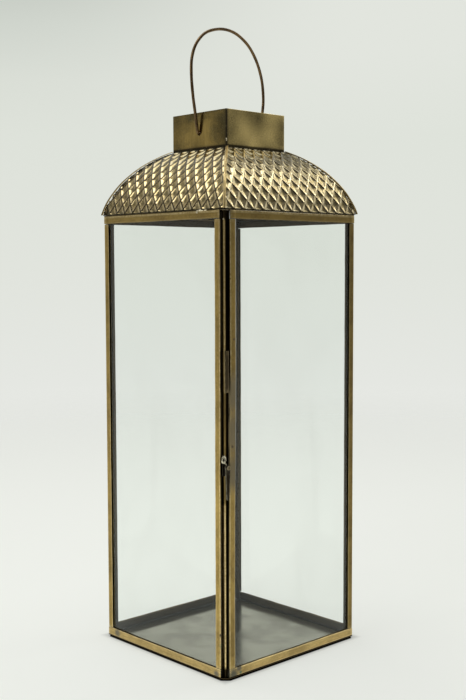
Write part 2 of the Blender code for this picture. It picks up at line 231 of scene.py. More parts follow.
def roof_brass(name, shade_by_chimney, pale):
    """Embossed brass: polished cream ridges over golden and olive pans, with painted shade towards the chimney, along
    the marked ridge sides (foot) and on the underside.
    """
    s = Shader(name)
    ridge = s.attribute("ridge")
    within = s.attribute("inside")
    cloud = s.noise(45.0, 5.0, 0.6)
    fine = s.noise(520.0, 4.0, 0.6)
    pan = s.mix(s.remap(cloud, 0.38, 0.62), (0.34, 0.265, 0.11), (0.15, 0.13, 0.07))
    pan = s.mix(s.remap(fine, 0.45, 0.7, 0.0, 0.6), pan, (0.46, 0.35, 0.15))
    crest = s.mix(s.remap(fine, 0.4, 0.7), pale, (0.68, 0.51, 0.22))
    colour = s.mix(s.remap(ridge, 0.0, 0.75), pan, crest)
    split = s.node("ShaderNodeSeparateXYZ")
    s.put(split.inputs[0], s.place)
    height = s.math("ADD", split.outputs["Z"], s.math("MULTIPLY", cloud, 0.012))
    # painted shade: darker towards the chimney
    colour = s.mix(s.remap(height, 0.461, 0.486, 0.0, shade_by_chimney), colour, (0.17, 0.15, 0.09))
    # painted shade along the marked ridge sides (foot)
    foot = s.attribute("foot")
    colour = s.mix(s.math("MULTIPLY", foot, 0.92), colour, (0.035, 0.03, 0.016))
    # underside painted dark: painted shade
    colour = s.mix(s.math("MULTIPLY", within, 0.85), colour, (0.10, 0.085, 0.06))
    roughness = s.remap(ridge, 0.2, 0.9, 0.26, 0.16)
    normal = s.bump(s.noise(170.0, 2.0, 0.5), 0.00010, 0.5)
    return s.surface(colour, 1.0, roughness, normal)


def chimney_brass(name):
    """Brushed brass with tarnish clouds that gather towards the sheet's edges, darker patches at listed places, a
    painted highlight on the front face and painted shade at its foot and inside.
    """
    s = Shader(name)
    streak = s.noise(1400.0, 3.0, 0.6, stretch=(1, 1, 0.035))
    cloud = s.noise(26.0, 6.0, 0.60, stretch=(1, 1, 1.9), warp=0.5)
    fine = s.noise(600.0, 3.0, 0.6)
    edge = s.attribute("edge")
    within = s.attribute("inside")
    colour = s.mix(s.remap(streak, 0.3, 0.7), (0.60, 0.42, 0.135), (0.45, 0.31, 0.095))
    gather = s.math("ADD", cloud, s.math("MULTIPLY", edge, 0.14))
    colour = s.mix(s.remap(gather, 0.46, 0.68, 0.0, 0.75), colour, (0.15, 0.12, 0.05))
    split = s.node("ShaderNodeSeparateXYZ")
    s.put(split.inputs[0], s.place)
    bottom = s.remap(s.math("ADD", split.outputs["Z"], s.math("MULTIPLY", cloud, 0.006)), 0.4895, 0.4945, 1.0, 0.0)
    # painted highlight: the front face is made lighter
    front = s.remap(split.outputs["Y"], -0.0384, -0.0380, 1.0, 0.0)
    colour = s.mix(front, colour, (1.0, 0.77, 0.31))
    # darker patches at the listed centres (mm), radii and depths
    for centre, radius, depth in (
        ((3.0, -38.9, 516.0), 13.0, 0.85), ((-10.0, -38.9, 521.0), 10.0, 0.6), ((38.0, -38.9, 511.0), 13.0, 0.85),
        ((35.0, -38.9, 495.0), 10.0, 0.6), ((-26.0, -38.9, 523.0), 8.0, 0.5), ((14.0, -38.9, 486.0), 11.0, 0.7),
        ((-20.0, -38.9, 486.0), 9.0, 0.6), ((-38.9, 32.0, 517.0), 15.0, 0.8), ((-38.9, 10.0, 521.0), 11.0, 0.7),
        ((-38.9, -33.0, 512.0), 13.0, 0.8), ((-38.9, -35.0, 496.0), 13.0, 0.8), ((-38.9, 32.0, 489.0), 12.0, 0.65),
        ((-38.9, -8.0, 523.0), 9.0, 0.5), ((-38.9, 4.0, 486.0), 10.0, 0.6), ((25.0, 38.9, 512.0), 14.0, 0.7),
        ((-20.0, 38.9, 494.0), 12.0, 0.6), ((38.9, 15.0, 515.0), 13.0, 0.7), ((38.9, -22.0, 492.0), 12.0, 0.6),
    ):
        colour = s.mix(s.math("MINIMUM", s.math("MULTIPLY", s.near(centre, radius * 2.1, 1.0), depth * 1.3), 0.92), colour, (0.085, 0.068, 0.03))
    # painted shade: darker over the lowest few millimetres
    colour = s.mix(s.math("MULTIPLY", bottom, 0.7), colour, (0.06, 0.05, 0.025))
    # painted shadow: a near-black line along the chimney's foot
    line = s.remap(split.outputs["Z"], 0.4882, 0.4896, 1.0, 0.0)
    colour = s.mix(s.math("MULTIPLY", line, 0.85), colour, (0.015, 0.012, 0.008))
    seam = s.node("ShaderNodeVectorMath", operation="DISTANCE")
    flatten = s.node("ShaderNodeVectorMath", operation="MULTIPLY")
    s.put(flatten.inputs[0], s.place)
    flatten.inputs[1].default_value = (1.0, 1.0, 0.0)
    s.put(seam.inputs[0], flatten.outputs["Vector"])
    seam.inputs[1].default_value = (-0.03893, -0.03893, 0.0)
    colour = s.mix(s.remap(seam.outputs["Value"], 0.0006, 0.0035, 0.75, 0.0), colour, (0.07, 0.055, 0.03))
    colour = s.mix(s.remap(seam.outputs["Value"], 0.0004, 0.0010, 0.95, 0.0), colour, (0.012, 0.008, 0.005))
    colour = s.mix(s.remap(fine, 0.62, 0.72, 0.0, 0.4), colour, (0.62, 0.52, 0.30))
    # inner faces painted dark: painted shade
    colour = s.mix(s.math("MULTIPLY", within, 0.8), colour, (0.10, 0.08, 0.045))
    roughness = s.remap(gather, 0.4, 0.75, 0.16, 0.34)
    normal = s.bump(streak, 0.00003, 0.6)
    normal = s.bump(s.noise(60.0, 2.0, 0.5), 0.0003, 0.5, normal)
    return s.surface(colour, 1.0, roughness, normal)


def wire_bronze(name):
    """Brown lacquered wire, rubbed lighter here and there."""
    s = Shader(name)
    cloud = s.noise(120.0, 5.0, 0.6)
    fine = s.noise(420.0, 2.0, 0.5)
    colour = s.mix(s.remap(cloud, 0.4, 0.65), (0.19, 0.12, 0.055), (0.10, 0.064, 0.033))
    colour = s.mix(s.remap(fine, 0.62, 0.78, 0.0, 0.3), colour, (0.34, 0.24, 0.12))
    roughness = s.remap(cloud, 0.3, 0.7, 0.22, 0.34)
    return s.surface(colour, 1.0, roughness, s.bump(cloud, 0.00006, 0.4))


def tinned_sheet(name):
    """Bright tinned sheet with a soft wave, dulled in clouds, its rim painted dark as painted shade."""
    s = Shader(name)
    cloud = s.noise(24.0, 5.0, 0.6)
    fine = s.noise(380.0, 4.0, 0.6, stretch=(1, 0.08, 1))
    colour = s.mix(s.remap(cloud, 0.38, 0.66), (0.50, 0.49, 0.40), (0.37, 0.36, 0.29))
    colour = s.mix(s.remap(fine, 0.6, 0.75, 0.0, 0.22), colour, (0.24, 0.23, 0.18))
    split = s.node("ShaderNodeSeparateXYZ")
    s.put(split.inputs[0], s.place)
    reach = s.math("MAXIMUM", s.math("ABSOLUTE", split.outputs["X"]), s.math("ABSOLUTE", split.outputs["Y"]))
    # painted shade: the rim past 83.5 mm from the centre is dark
    colour = s.mix(s.remap(reach, 0.0835, 0.0855), colour, (0.07, 0.05, 0.025))
    roughness = s.remap(cloud, 0.3, 0.7, 0.12, 0.26)
    return s.surface(colour, 1.0, roughness, s.bump(s.noise(18.0, 1.0, 0.5), 0.0005, 0.5))


def solder(name):
    s = Shader(name)
    fine = s.noise(1200.0, 3.0, 0.6)
    colour = s.mix(s.remap(fine, 0.4, 0.65), (0.78, 0.70, 0.50), (0.42, 0.35, 0.22))
    return s.surface(colour, 1.0, s.remap(fine, 0.3, 0.7, 0.26, 0.46), s.bump(fine, 0.0001, 0.6))


def window_glass(name, seed):
    """Clear pane: mostly see-through, a soft sheen at a low angle, faint smears."""
    s = Shader(name)
    clear = s.node("ShaderNodeBsdfTransparent")
    shine = s.node("ShaderNodeBsdfGlossy")
    smear = s.noise(14.0, 4.0, 0.6, stretch=(1, 1, 0.5), warp=0.6)
    speck = s.noise(700.0 + 20 * seed, 2.0, 0.5)
    tint = s.mix(s.remap(smear, 0.45, 0.75, 0.0, 1.0), (0.988, 0.996, 0.990), (0.976, 0.984, 0.977))
    tint = s.mix(s.remap(speck, 0.70, 0.78, 0.0, 0.35), tint, (0.75, 0.76, 0.72))
    s.put(clear.inputs["Color"], tint)
    shine.inputs["Color"].default_value = (0.95, 0.98, 0.96, 1.0)
    s.put(shine.inputs["Roughness"], s.remap(smear, 0.3, 0.7, 0.02, 0.10))
    weight = s.node("ShaderNodeLayerWeight")
    weight.inputs["Blend"].default_value = 0.5
    slant = s.math("POWER", weight.outputs["Facing"], 5.0)
    mixed = s.node("ShaderNodeMixShader")
    s.put(mixed.inputs[0], s.math("ADD", s.math("MULTIPLY", slant, 0.5), 0.022))
    s.put(mixed.inputs[1], clear.outputs[0])
    s.put(mixed.inputs[2], shine.outputs[0])
    if name.endswith("door"):
        # a painted highlight: a pale line along the latch stile
        split = s.node("ShaderNodeSeparateXYZ")
        s.put(split.inputs[0], s.place)
        across = s.math("ADD", split.outputs["X"], s.math("MULTIPLY", s.noise(160.0, 3.0), 0.0005))
        across = s.math("SUBTRACT", across, s.remap(split.outputs["Z"], 0.06, 0.33, 0.00013, 0.0019))
        line = s.remap(across, -0.0766, -0.0758, 1.0, 0.0)
        tall = s.remap(split.outputs["Z"], 0.15, 0.26, 0.25, 1.0)
        painted_glint = s.node("ShaderNodeBsdfDiffuse")
        painted_glint.inputs["Color"].default_value = (0.72, 0.73, 0.68, 1.0)
        lined = s.node("ShaderNodeMixShader")
        s.put(lined.inputs[0], s.math("MULTIPLY", s.math("MULTIPLY", line, tall), 0.75))
        s.put(lined.inputs[1], mixed.outputs[0])
        s.put(lined.inputs[2], painted_glint.outputs[0])
        mixed = lined
    s.put(s.out.inputs["Surface"], mixed.outputs[0])
    return s.mat


# ------------------------------------------------------------------- helpers
def wave(t, seed, parts=((61.0, 0.6), (23.0, 0.3), (9.0, 0.1))):
    """A smooth uneven line, about -1 to 1, for t in mm."""
    return sum(
        a * math.sin(2 * math.pi * t / l + seed * (1.7 + 0.9 * k) + k)
        for k, (l, a) in enumerate(parts)
    )


def mesh_piece(name, points, faces, material, fields=None, sharp=35.0):
    """points are in mm in the row frame."""
    mesh = bpy.data.meshes.new(name)
    mesh.from_pydata([tuple(c * MM for c in p) for p in points], [], faces)
    for key, values in (fields or {}).items():
        layer = mesh.attributes.new(key, "FLOAT", "POINT")
        layer.data.foreach_set("value", np.array(values, np.float32))
    bm = bmesh.new()
    bm.from_mesh(mesh)
    bmesh.ops.recalc_face_normals(bm, faces=bm.faces)
    bm.to_mesh(mesh)
    bm.free()
    mesh.shade_smooth()
    mesh.set_sharp_from_angle(angle=math.radians(sharp))
    mesh.materials.append(material)
    obj = bpy.data.objects.new(name, mesh)
    scene.collection.objects.link(obj)
    return obj


def adopt(obj, body, node=None):
    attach(obj, body)
    if node is not None:
        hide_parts(node)
    return obj


def tube(name, rings, material, closed_loop=True, caps=True, fields=None, sharp=35.0):
    """Closed rings of equal length joined one to the next, the ends filled."""
    n = len(rings[0])
    points = [p for ring in rings for p in ring]
    faces = []
    for k in range(len(rings) - 1):
        for i in range(n):
            j = (i + 1) % n
            faces.append((k * n + i, k * n + j, (k + 1) * n + j, (k + 1) * n + i))
    if caps:
        faces.append(tuple(range(n - 1, -1, -1)))
        base = (len(rings) - 1) * n
        faces.append(tuple(base + i for i in range(n)))
    return mesh_piece(name, points, faces, material, fields, sharp)


def refined(node, material, width=0.12, segments=2, body=None, cuts=0, longest=4.0, shape=None, recess=None):
    """A finer copy of a CAD node: rolled edges, extra points and an optional reshaping."""
    source = frame["nodes"][node]
    bm = bmesh.new()
    bm.from_mesh(source.data)
    bmesh.ops.remove_doubles(bm, verts=bm.verts, dist=1e-6)
    bmesh.ops.dissolve_limit(
        bm, angle_limit=math.radians(1.0), verts=bm.verts, edges=bm.edges
    )
    sharp = [e for e in bm.edges if e.is_manifold and e.calc_face_angle(0) > math.radians(30)]
    mark = bm.verts.layers.float.new("edge")
    rolled = bmesh.ops.bevel(
        bm, geom=sharp, offset=width * MM, offset_type="OFFSET", segments=segments,
        profile=0.5, affect="EDGES", clamp_overlap=True,
    )
    for f in rolled["faces"]:
        for v in f.verts:
            v[mark] = 0.75
    bmesh.ops.triangulate(bm, faces=[f for f in bm.faces if len(f.verts) > 4])
    for _ in range(cuts):
        long_edges = [e for e in bm.edges if e.calc_length() > longest * MM]
        made = bmesh.ops.subdivide_edges(bm, edges=long_edges, cuts=1, use_grid_fill=True)
        fresh = {v for v in made["geom_inner"] if isinstance(v, bmesh.types.BMVert)}
        for v in fresh:
            around = [f for f in v.link_faces]
            flat = all(f.normal.angle(around[0].normal, 0) < 0.02 for f in around)
            v[mark] = 0.0 if flat and not v.is_boundary and all(
                e.calc_face_angle(0) < 0.02 for e in v.link_edges if e.is_manifold) else v[mark]
    bmesh.ops.triangulate(bm, faces=[f for f in bm.faces if len(f.verts) > 4])
    mesh = bpy.data.meshes.new(node + "_fine")
    bm.to_mesh(mesh)
    bm.free()
    marks = mesh.attributes["edge"].data
    for v in mesh.vertices:
        if shape is not None:
            moved = shape(*(v.co / MM))
            v.co = Vector(moved[:3]) * MM
            marks[v.index].value = max(marks[v.index].value, moved[3])
    if recess is not None:
        layer = mesh.attributes.new("recess", "FLOAT", "POINT")
        layer.data.foreach_set("value", [float(recess(*(v.co / MM))) for v in mesh.vertices])
    mesh.shade_smooth()
    mesh.set_sharp_from_angle(angle=math.radians(35))
    mesh.materials.clear()
    mesh.materials.append(material)
    obj = bpy.data.objects.new(node + "_fine", mesh)
    scene.collection.objects.link(obj)
    return adopt(obj, body or source["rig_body"], node)


def bead(name, centre, size, seed, body, material, turn=(0, 0, 0)):
    """A small uneven run of solder."""
    bm = bmesh.new()
    bmesh.ops.create_icosphere(bm, subdivisions=3, radius=1.0)
    for v in bm.verts:
        d = v.co.normalized()
        lump = 1 + 0.14 * math.sin(3.1 * d.x + seed) + 0.12 * math.sin(4.3 * d.z + 2 * seed)
        lump += 0.06 * math.sin(9.0 * d.y + 3 * seed)
        v.co = Vector((d.x * size[0] * lump, d.y * size[1] * lump, d.z * size[2] * lump)) * MM
    mesh = bpy.data.meshes.new(name)
    bm.to_mesh(mesh)
    bm.free()
    mesh.transform(Matrix.Rotation(math.radians(turn[1]), 4, "Y"))
    mesh.transform(Matrix.Rotation(math.radians(turn[2]), 4, "Z"))
    mesh.transform(Matrix.Translation(Vector(centre) * MM))
    mesh.shade_smooth()
    mesh.materials.append(material)
    obj = bpy.data.objects.new(name, mesh)
    scene.collection.objects.link(obj)
    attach(obj, body)
    return obj


# -------------------------------------------------------------- panel frames
HALF, DEPTH, EDGE = 90.0, 3.0, 84.4
STILE, RAIL, SHEET = 6.5, 7.5, 0.5
LOW, HIGH = 3.0, 424.2

def ease(value, low, high):
    f = min(1.0, max(0.0, (value - low) / (high - low)))
    return f * f * (3 - 2 * f)


def door_lean(u, z):
    """The door's latch side stands in from the corner towards its head, in mm."""
    return (0.15 + 2.15 * ease(z, 60.0, 330.0)) * max(0.0, -u / EDGE) ** 2


def left_lean(u, z):
    return -(0.85 - 0.7 * ease(z, 120.0, 360.0)) * max(0.0, u / EDGE) ** 6


SIDES = {
    "door": ("door", lambda u, d, z: (u + door_lean(u, z), -HALF + d, z)),
    "left_panel": ("body", lambda u, d, z: (-HALF + d, -u - left_lean(u, z), z)),
    "right_panel": ("body", lambda u, d, z: (HALF - d, u, z)),
    "back_panel": ("body", lambda u, d, z: (-u, HALF - d, z)),
}
NAMES = {
    "door": ("latch", "hinge"), "left_panel": ("back", "front"),
    "right_panel": ("front", "back"), "back_panel": ("right", "left"),
}


def channel_section(width):
    """[(w, d, edge, inside)] once round the folded sheet: out along its skin, back inside."""
    fold, t = 0.7, SHEET
    outer = []
    for w in (width - 0.12, width - 0.55, width - 1.4, width * 0.66, width * 0.5, width * 0.34, 1.5):
        crown = -0.07 * (1 - ((w - width / 2) / (width / 2)) ** 2)
        near = max(0.0, 1 - (width - w) / 1.0)
        outer.append((w, crown, near, 0.0))
    for k in range(6):
        a = math.radians(-90 - 90 * k / 5)
        outer.append((fold + fold * math.cos(a), fold + fold * math.sin(a), (0.55, 0.8, 1, 1, 0.8, 0.5)[k], 0.0))
    outer.append((0.0, 1.5, 0.2, 0.1))
    for k in range(5):
        a = math.radians(180 - 90 * k / 4)
        outer.append((fold + fold * math.cos(a), DEPTH - fold + fold * math.sin(a), 0.4, 0.35 + 0.16 * k))
    for w in (width * 0.4, width * 0.7, width - 0.6, width - 0.12):
        outer.append((w, DEPTH, 0.7 if w > width - 0.3 else 0.0, 1.0))
    flat = np.array([(p[0], p[1]) for p in outer])
    step = np.gradient(flat, axis=0)
    step /= np.linalg.norm(step, axis=1)[:, None]
    inward = np.stack([step[:, 1], -step[:, 0]], 1)
    if (flat[0] + inward[0] * t)[1] < 0:
        inward = -inward
    inner = [(float(x), float(y), 0.0, 1.0) for x, y in flat + inward * t]
    tip_front = (width + 0.06, 0.25, 1.0, 0.3)
    tip_back = (width + 0.06, DEPTH - 0.25, 0.8, 1.0)
    return outer, inner, tip_front, tip_back


def channel(name, prefix, kind, side, material, seed):
    body, place = SIDES[prefix]
    width = STILE if kind == "stile" else RAIL
    low, high = (LOW, HIGH) if prefix == "door" else (LOW - 0.27, HIGH + 0.27)
    outer, inner, tip_front, tip_back = channel_section(width)
    section = outer + [tip_back] + inner[::-1] + [tip_front]
    if kind == "stile":
        t0, t1 = LOW + RAIL + 0.3, HIGH - RAIL - 0.3
    else:
        t0, t1 = -EDGE, EDGE
    marks = list(np.linspace(t0, t1, round((t1 - t0) / (3.6)) + 1))
    marks += [t0 + 0.25, t1 - 0.25]
    if kind == "rail":
        marks += [t0 + STILE - 0.15, t0 + STILE + 0.15, t1 - STILE - 0.15, t1 - STILE + 0.15]
    marks = sorted(marks)
    marks = [m for i, m in enumerate(marks) if i == 0 or m - marks[i - 1] > 0.05]
    rings, edge, inside, lapped, recess = [], [], [], [], []
    for t in marks:
        end = min(t - t0, t1 - t)
        bow = 0.05 * wave(t, seed)
        lip = 0.14 * wave(t, seed + 2.0, ((83.0, 0.5), (31.0, 0.35), (11.0, 0.15)))
        lap = 0.0
        if kind == "rail" and side > 0 and end < STILE:
            lap = 0.11
        ring = []
        for w, d, e, i in section:
            w2 = w + lip * max(0.0, w / width) ** 2
            d2 = d
            if d < 1.0:
                d2 = d + min(0.0, bow) * (w / width) - lap * (d < 0.6)
            if end < 0.2:
                d2 += 0.08 if d < 0.3 else 0.0
                w2 = w2 if 0.2 < w < width - 0.3 else w2 + (0.06 if w <= 0.2 else -0.06)
            if kind == "stile":
                ring.append(place(side * (EDGE - w2), d2, t))
            else:
                ring.append(place(t, d2, (high - w2) if side > 0 else (low + w2)))
            tip = max(0.0, 1 - end / 0.8)
            # the top rails' upper edge is rubbed and painted bright: a painted highlight
            rub_and_highlight = 0.9 if kind == "rail" and side > 0 and d < 0.3 and w < 1.6 else 0.0
            edge.append(max(e, rub_and_highlight, 0.8 * tip if d < 0.6 else 0))
            inside.append(i)
            # the fold's far side lies in the corner notch and is painted black, and the inner skin half dark: painted
            # shade, with some patina in the notch
            web = min(1.0, max(0.0, (d - 0.38) / 0.5)) if w < 0.45 else (0.5 if i > 0.9 and w < width - 0.4 else 0.0)
            if kind == "rail":
                # the lips that face the floor, and the inner folds, are painted dark: painted shade
                if side > 0 and w > width - 0.2:
                    web = max(web, 0.75)
                if d > 1.6 and w < 1.0:
                    web = max(web, 0.8)
            recess.append(web)
            lapped.append(1.0 if lap else 0.0)
        rings.append(ring)
    n, m = len(section), len(outer)
    points = [p for ring in rings for p in ring]
    faces = []
    for k in range(len(rings) - 1):
        for i in range(n):
            j = (i + 1) % n
            faces.append((k * n + i, k * n + j, (k + 1) * n + j, (k + 1) * n + i))
    for base in (0, (len(rings) - 1) * n):
        for i in range(m - 1):
            faces.append((base + i, base + i + 1, base + n - 3 - i, base + n - 2 - i))
        faces.append((base + 0, base + n - 2, base + n - 1))
        faces.append((base + m - 1, base + m, base + m + 1))
    obj = mesh_piece(
        name + "_folded", points, faces, material,
        {"edge": edge, "inside": inside, "lapped": lapped, "recess": recess},
    )
    return adopt(obj, body, name)


# --------------------------------------------------------------------- roof
ROOF_R, ROOF_CZ, ROOF_EAVE_Z, ROOF_TOP_HALF = 91.84, 403.9, 425.7, 39.5
THETA_EAVE = math.acos((ROOF_EAVE_Z - ROOF_CZ) / ROOF_R)
THETA_TOP = math.asin(ROOF_TOP_HALF / ROOF_R)
ARC = (THETA_EAVE - THETA_TOP) * ROOF_R
CELL_W, CELL_H = 12.45, 17.1
RISE = 1.25


def roof_height(da, db):
    """Height over the pan and how near the ridge top it is, da and db mm from the ridges."""
    k = 0.45
    d = -k * math.log(math.exp(-da / k) + math.exp(-db / k)) if min(da, db) < 6 else min(da, db)
    d = max(0.0, d)
    top, foot = 0.26, 4.5
    if d < top:
        return -0.04 * (d / top) ** 2, 1.0
    if d > foot:
        return -RISE, 0.0
    f = (d - top) / (foot - top)
    drop = 0.62 * (1 - (1 - f) ** 2) + 0.38 * (0.5 - 0.5 * math.cos(math.pi * f ** 0.8))
    return -0.04 - (RISE - 0.04) * drop, max(0.0, 1 - f * 1.05)


def roof_skin(name, node, turn, u0, s0, seed, material, crossed):
    ticks_fine = (0.0, 0.038, 0.075, 0.115, 0.165, 0.215, 0.27, 0.36, 0.5, 0.64, 0.73, 0.785, 0.835, 0.885, 0.925, 0.962)
    ticks = ticks_fine
    reach = int(100 / CELL_W + ARC / CELL_H) + 3
    values = [i + t for i in range(-reach, reach + 1) for t in ticks]
    pitch = 1 / math.sqrt(1 / CELL_W ** 2 + 1 / CELL_H ** 2)
    grid, points, ridges, shade_marks = {}, [], [], []
    rng = random.Random(seed)
    jitter = {}

    def node_jitter(i, j):
        if (i, j) not in jitter:
            jitter[(i, j)] = (rng.uniform(-0.3, 0.3), rng.uniform(-0.3, 0.3))
        return jitter[(i, j)]

    depth_of = {}
    for ia in range(-reach, reach + 2):
        for ib in range(-reach, reach + 2):
            node_jitter(ia, ib)
            depth_of[(ia, ib)] = rng.uniform(0.85, 1.12)
    count = len(values)
    for i, a in enumerate(values):
        for j, b in enumerate(values):
            u = u0 + (a + b) / 2 * CELL_W
            s = s0 + (a - b) / 2 * CELL_H
            if not (-1.5 < s < ARC + 1.5):
                continue
            half = ROOF_R * math.sin(THETA_EAVE - s / ROOF_R) if 0 < s < ARC else 92.0
            if abs(u) > half + 2.5:
                continue
            ca, cb = math.floor(a), math.floor(b)
            fa, fb = a - ca, b - cb
            du = ds = 0.0
            for oa in (0, 1):
                for ob in (0, 1):
                    weight = (fa if oa else 1 - fa) * (fb if ob else 1 - fb)
                    jx, jy = node_jitter(ca + oa, cb + ob)
                    du += jx * weight
                    ds += jy * weight
            h, r = roof_height(min(fa, 1 - fa) * pitch, min(fb, 1 - fb) * pitch)
            if h < -0.04:
                h = -0.04 + (h + 0.04) * depth_of[(ca, cb)]
            grid[(i, j)] = len(points)
            points.append([u + du, s + ds, h])
            ridges.append(r)
            near = min(min(fa, 1 - fa), min(fb, 1 - fb)) * pitch
            # painted shade is left under the ridge on two of each pan's sides, stronger in the lower rows
            to_ridge = (1 - fa) * pitch
            low_row = 1.0 - 0.45 * ease(s, 0.30 * ARC, 0.55 * ARC)
            mark = low_row * max(0.0, 1 - abs(to_ridge - 1.1) / 1.0) * (1.0 if to_ridge <= near + 1e-6 else 0.0)
            if crossed:
                # this panel gets painted shade along both sets of ridges and on one side of each pan
                line = min(1.0, max(0.0, 1.35 - abs(near - 0.2) / 0.75))
                mark = max(line, 0.42 * ease((fa + fb) / 2, 0.42, 0.78))
            shade_marks.append(min(1.0, mark))
    faces = []
    for (i, j), k in grid.items():
        quad = [grid.get(c) for c in ((i, j), (i + 1, j), (i + 1, j + 1), (i, j + 1))]
        if None not in quad:
            faces.append(tuple(quad))
    bm = bmesh.new()
    bm.verts.layers.float.new("ridge")
    bm.verts.layers.float.new("foot")
    bm.verts.layers.float.new("inside")
    layer = bm.verts.layers.float["ridge"]
    verts = [bm.verts.new(p) for p in points]
    low = bm.verts.layers.float["foot"]
    for v, r, k in zip(verts, ridges, shade_marks):
        v[layer] = r
        v[low] = k
    for f in faces:
        bm.faces.new([verts[k] for k in f])
    for at, normal in (((0, 0.05, 0), (0, -1, 0)), ((0, ARC - 0.05, 0), (0, 1, 0))):
        bmesh.ops.bisect_plane(
            bm, geom=bm.verts[:] + bm.edges[:] + bm.faces[:], dist=1e-4,
            plane_co=at, plane_no=normal, clear_outer=True,
        )
    shadow = bm.verts.layers.float["foot"]
    pale = bm.verts.layers.float["ridge"]
    for v in bm.verts:
        u, s, h = v.co
        if s < 0.75 or s > ARC - 0.7:
            v[shadow] = max(v[shadow], 1.0 if s < 0.45 or s > ARC - 0.5 else 0.7)
            v[pale] = 0.0
        theta = THETA_EAVE - s / ROOF_R
        # the sheet's margins are pressed flat along the eave and the chimney
        margin = min(1.0, max(0.0, (s - 0.3) / 0.9)) * min(1.0, max(0.0, (ARC - 0.3 - s) / 0.9))
        h = h * margin - 0.25 * (1 - margin)
        sag = 0.25 * math.sin(math.pi * s / ARC) * math.cos(math.pi * u / 190 + seed)
        radius = ROOF_R + h + 0.12 * wave(u, seed, ((70.0, 0.6), (33.0, 0.4))) * margin - 0.1 + 0 * sag
        v.co = (u, -radius * math.sin(theta), ROOF_CZ + radius * math.cos(theta))
    for sign in (-1, 1):
        # the hip plane x = sign * -y, drawn back a little under the hip strip
        normal = Vector((sign, 1, 0)).normalized()
        bmesh.ops.bisect_plane(
            bm, geom=bm.verts[:] + bm.edges[:] + bm.faces[:], dist=1e-4,
            plane_co=-normal * 0.55, plane_no=normal, clear_outer=True,
        )
    loose = [v for v in bm.verts if not v.link_faces]
    bmesh.ops.delete(bm, geom=loose, context="VERTS")
    bmesh.ops.recalc_face_normals(bm, faces=bm.faces)
    if sum(f.normal.z * f.calc_area() for f in bm.faces) < 0:
        bmesh.ops.reverse_faces(bm, faces=bm.faces)
    # the underside: the same skin, half a millimetre in
    bm.verts.ensure_lookup_table()
    bm.verts.index_update()
    bm.normal_update()
    inner = bm.verts.layers.float["inside"]
    layer = bm.verts.layers.float["ridge"]
    outer_verts = bm.verts[:]
    outer_faces = bm.faces[:]
    rim = [e for e in bm.edges if e.is_boundary]
    under = {}
    for v in outer_verts:
        w = bm.verts.new(v.co - v.normal * 0.5)
        w[inner] = 1.0
        w[layer] = 0.0
        under[v] = w
    for f in outer_faces:
        bm.faces.new([under[v] for v in reversed(f.verts)])
    for e in rim:
        face = e.link_faces[0]
        order = list(face.verts)
        i = order.index(e.verts[0])
        a, b = tuple(e.verts)
        if order[(i + 1) % len(order)] != b:
            a, b = b, a
        bm.faces.new((b, a, under[a], under[b]))
    mesh = bpy.data.meshes.new(name)
    bm.to_mesh(mesh)
    bm.free()
    mesh.transform(Matrix.Scale(MM, 4))
    mesh.transform(Matrix.Rotation(turn, 4, "Z"))
    mesh.shade_smooth()
    mesh.set_sharp_from_angle(angle=math.radians(60))
    mesh.materials.append(material)
    obj = bpy.data.objects.new(name, mesh)
    scene.collection.objects.link(obj)
    return adopt(obj, "body", node)


def hip_strip(name, node, turn, seed, material):
    """A bent strip over the hip: a wide leg on its own side, a narrow one past the corner."""
    steps = 48
    rings, edge, inside = [], [], []
    for k in range(steps + 1):
        s = ARC * k / steps
        theta = THETA_EAVE - s / ROOF_R
        wide = 2.4 + 0.18 * wave(s, seed, ((37.0, 0.6), (13.0, 0.4)))
        slim = 1.2 + 0.12 * wave(s, seed + 3, ((29.0, 0.6), (11.0, 0.4)))
        ring = []
        outer_marks = [(-slim, 0.50, 0.9), (-slim + 0.12, 0.74, 1.0), (-slim * 0.5, 0.82, 0.3), (-0.18, 0.84, 0.9), (0.0, 0.78, 1.0), (0.18, 0.84, 0.9), (0.7, 0.86, 0.1), (1.3, 0.84, 0.0), (wide - 0.45, 0.80, 0.2), (wide - 0.1, 0.70, 1.0), (wide, 0.52, 0.9)]
        inner_marks = [(wide - 0.1, 0.36, 0.2), (1.2, 0.34, 0.0), (0.0, 0.34, 0.0), (-slim + 0.1, 0.36, 0.2)]
        for m, (w, lift, e) in enumerate(outer_marks + inner_marks):
            lift += 0.05 * wave(s, seed + 1, ((21.0, 1.0),))
            half = (ROOF_R + lift) * math.sin(theta)
            z = ROOF_CZ + (ROOF_R + lift) * math.cos(theta)
            x, y = (-half + w, -half) if w >= 0 else (-half, -half - w)
            ring.append((x, y, z))
            edge.append(e)
            inside.append(0.0 if m < len(outer_marks) else 0.8)
        rings.append(ring)
    obj = tube(name, rings, material, fields={"edge": edge, "inside": inside})
    obj.data.transform(Matrix.Rotation(turn, 4, "Z"))
    return adopt(obj, "body", node)


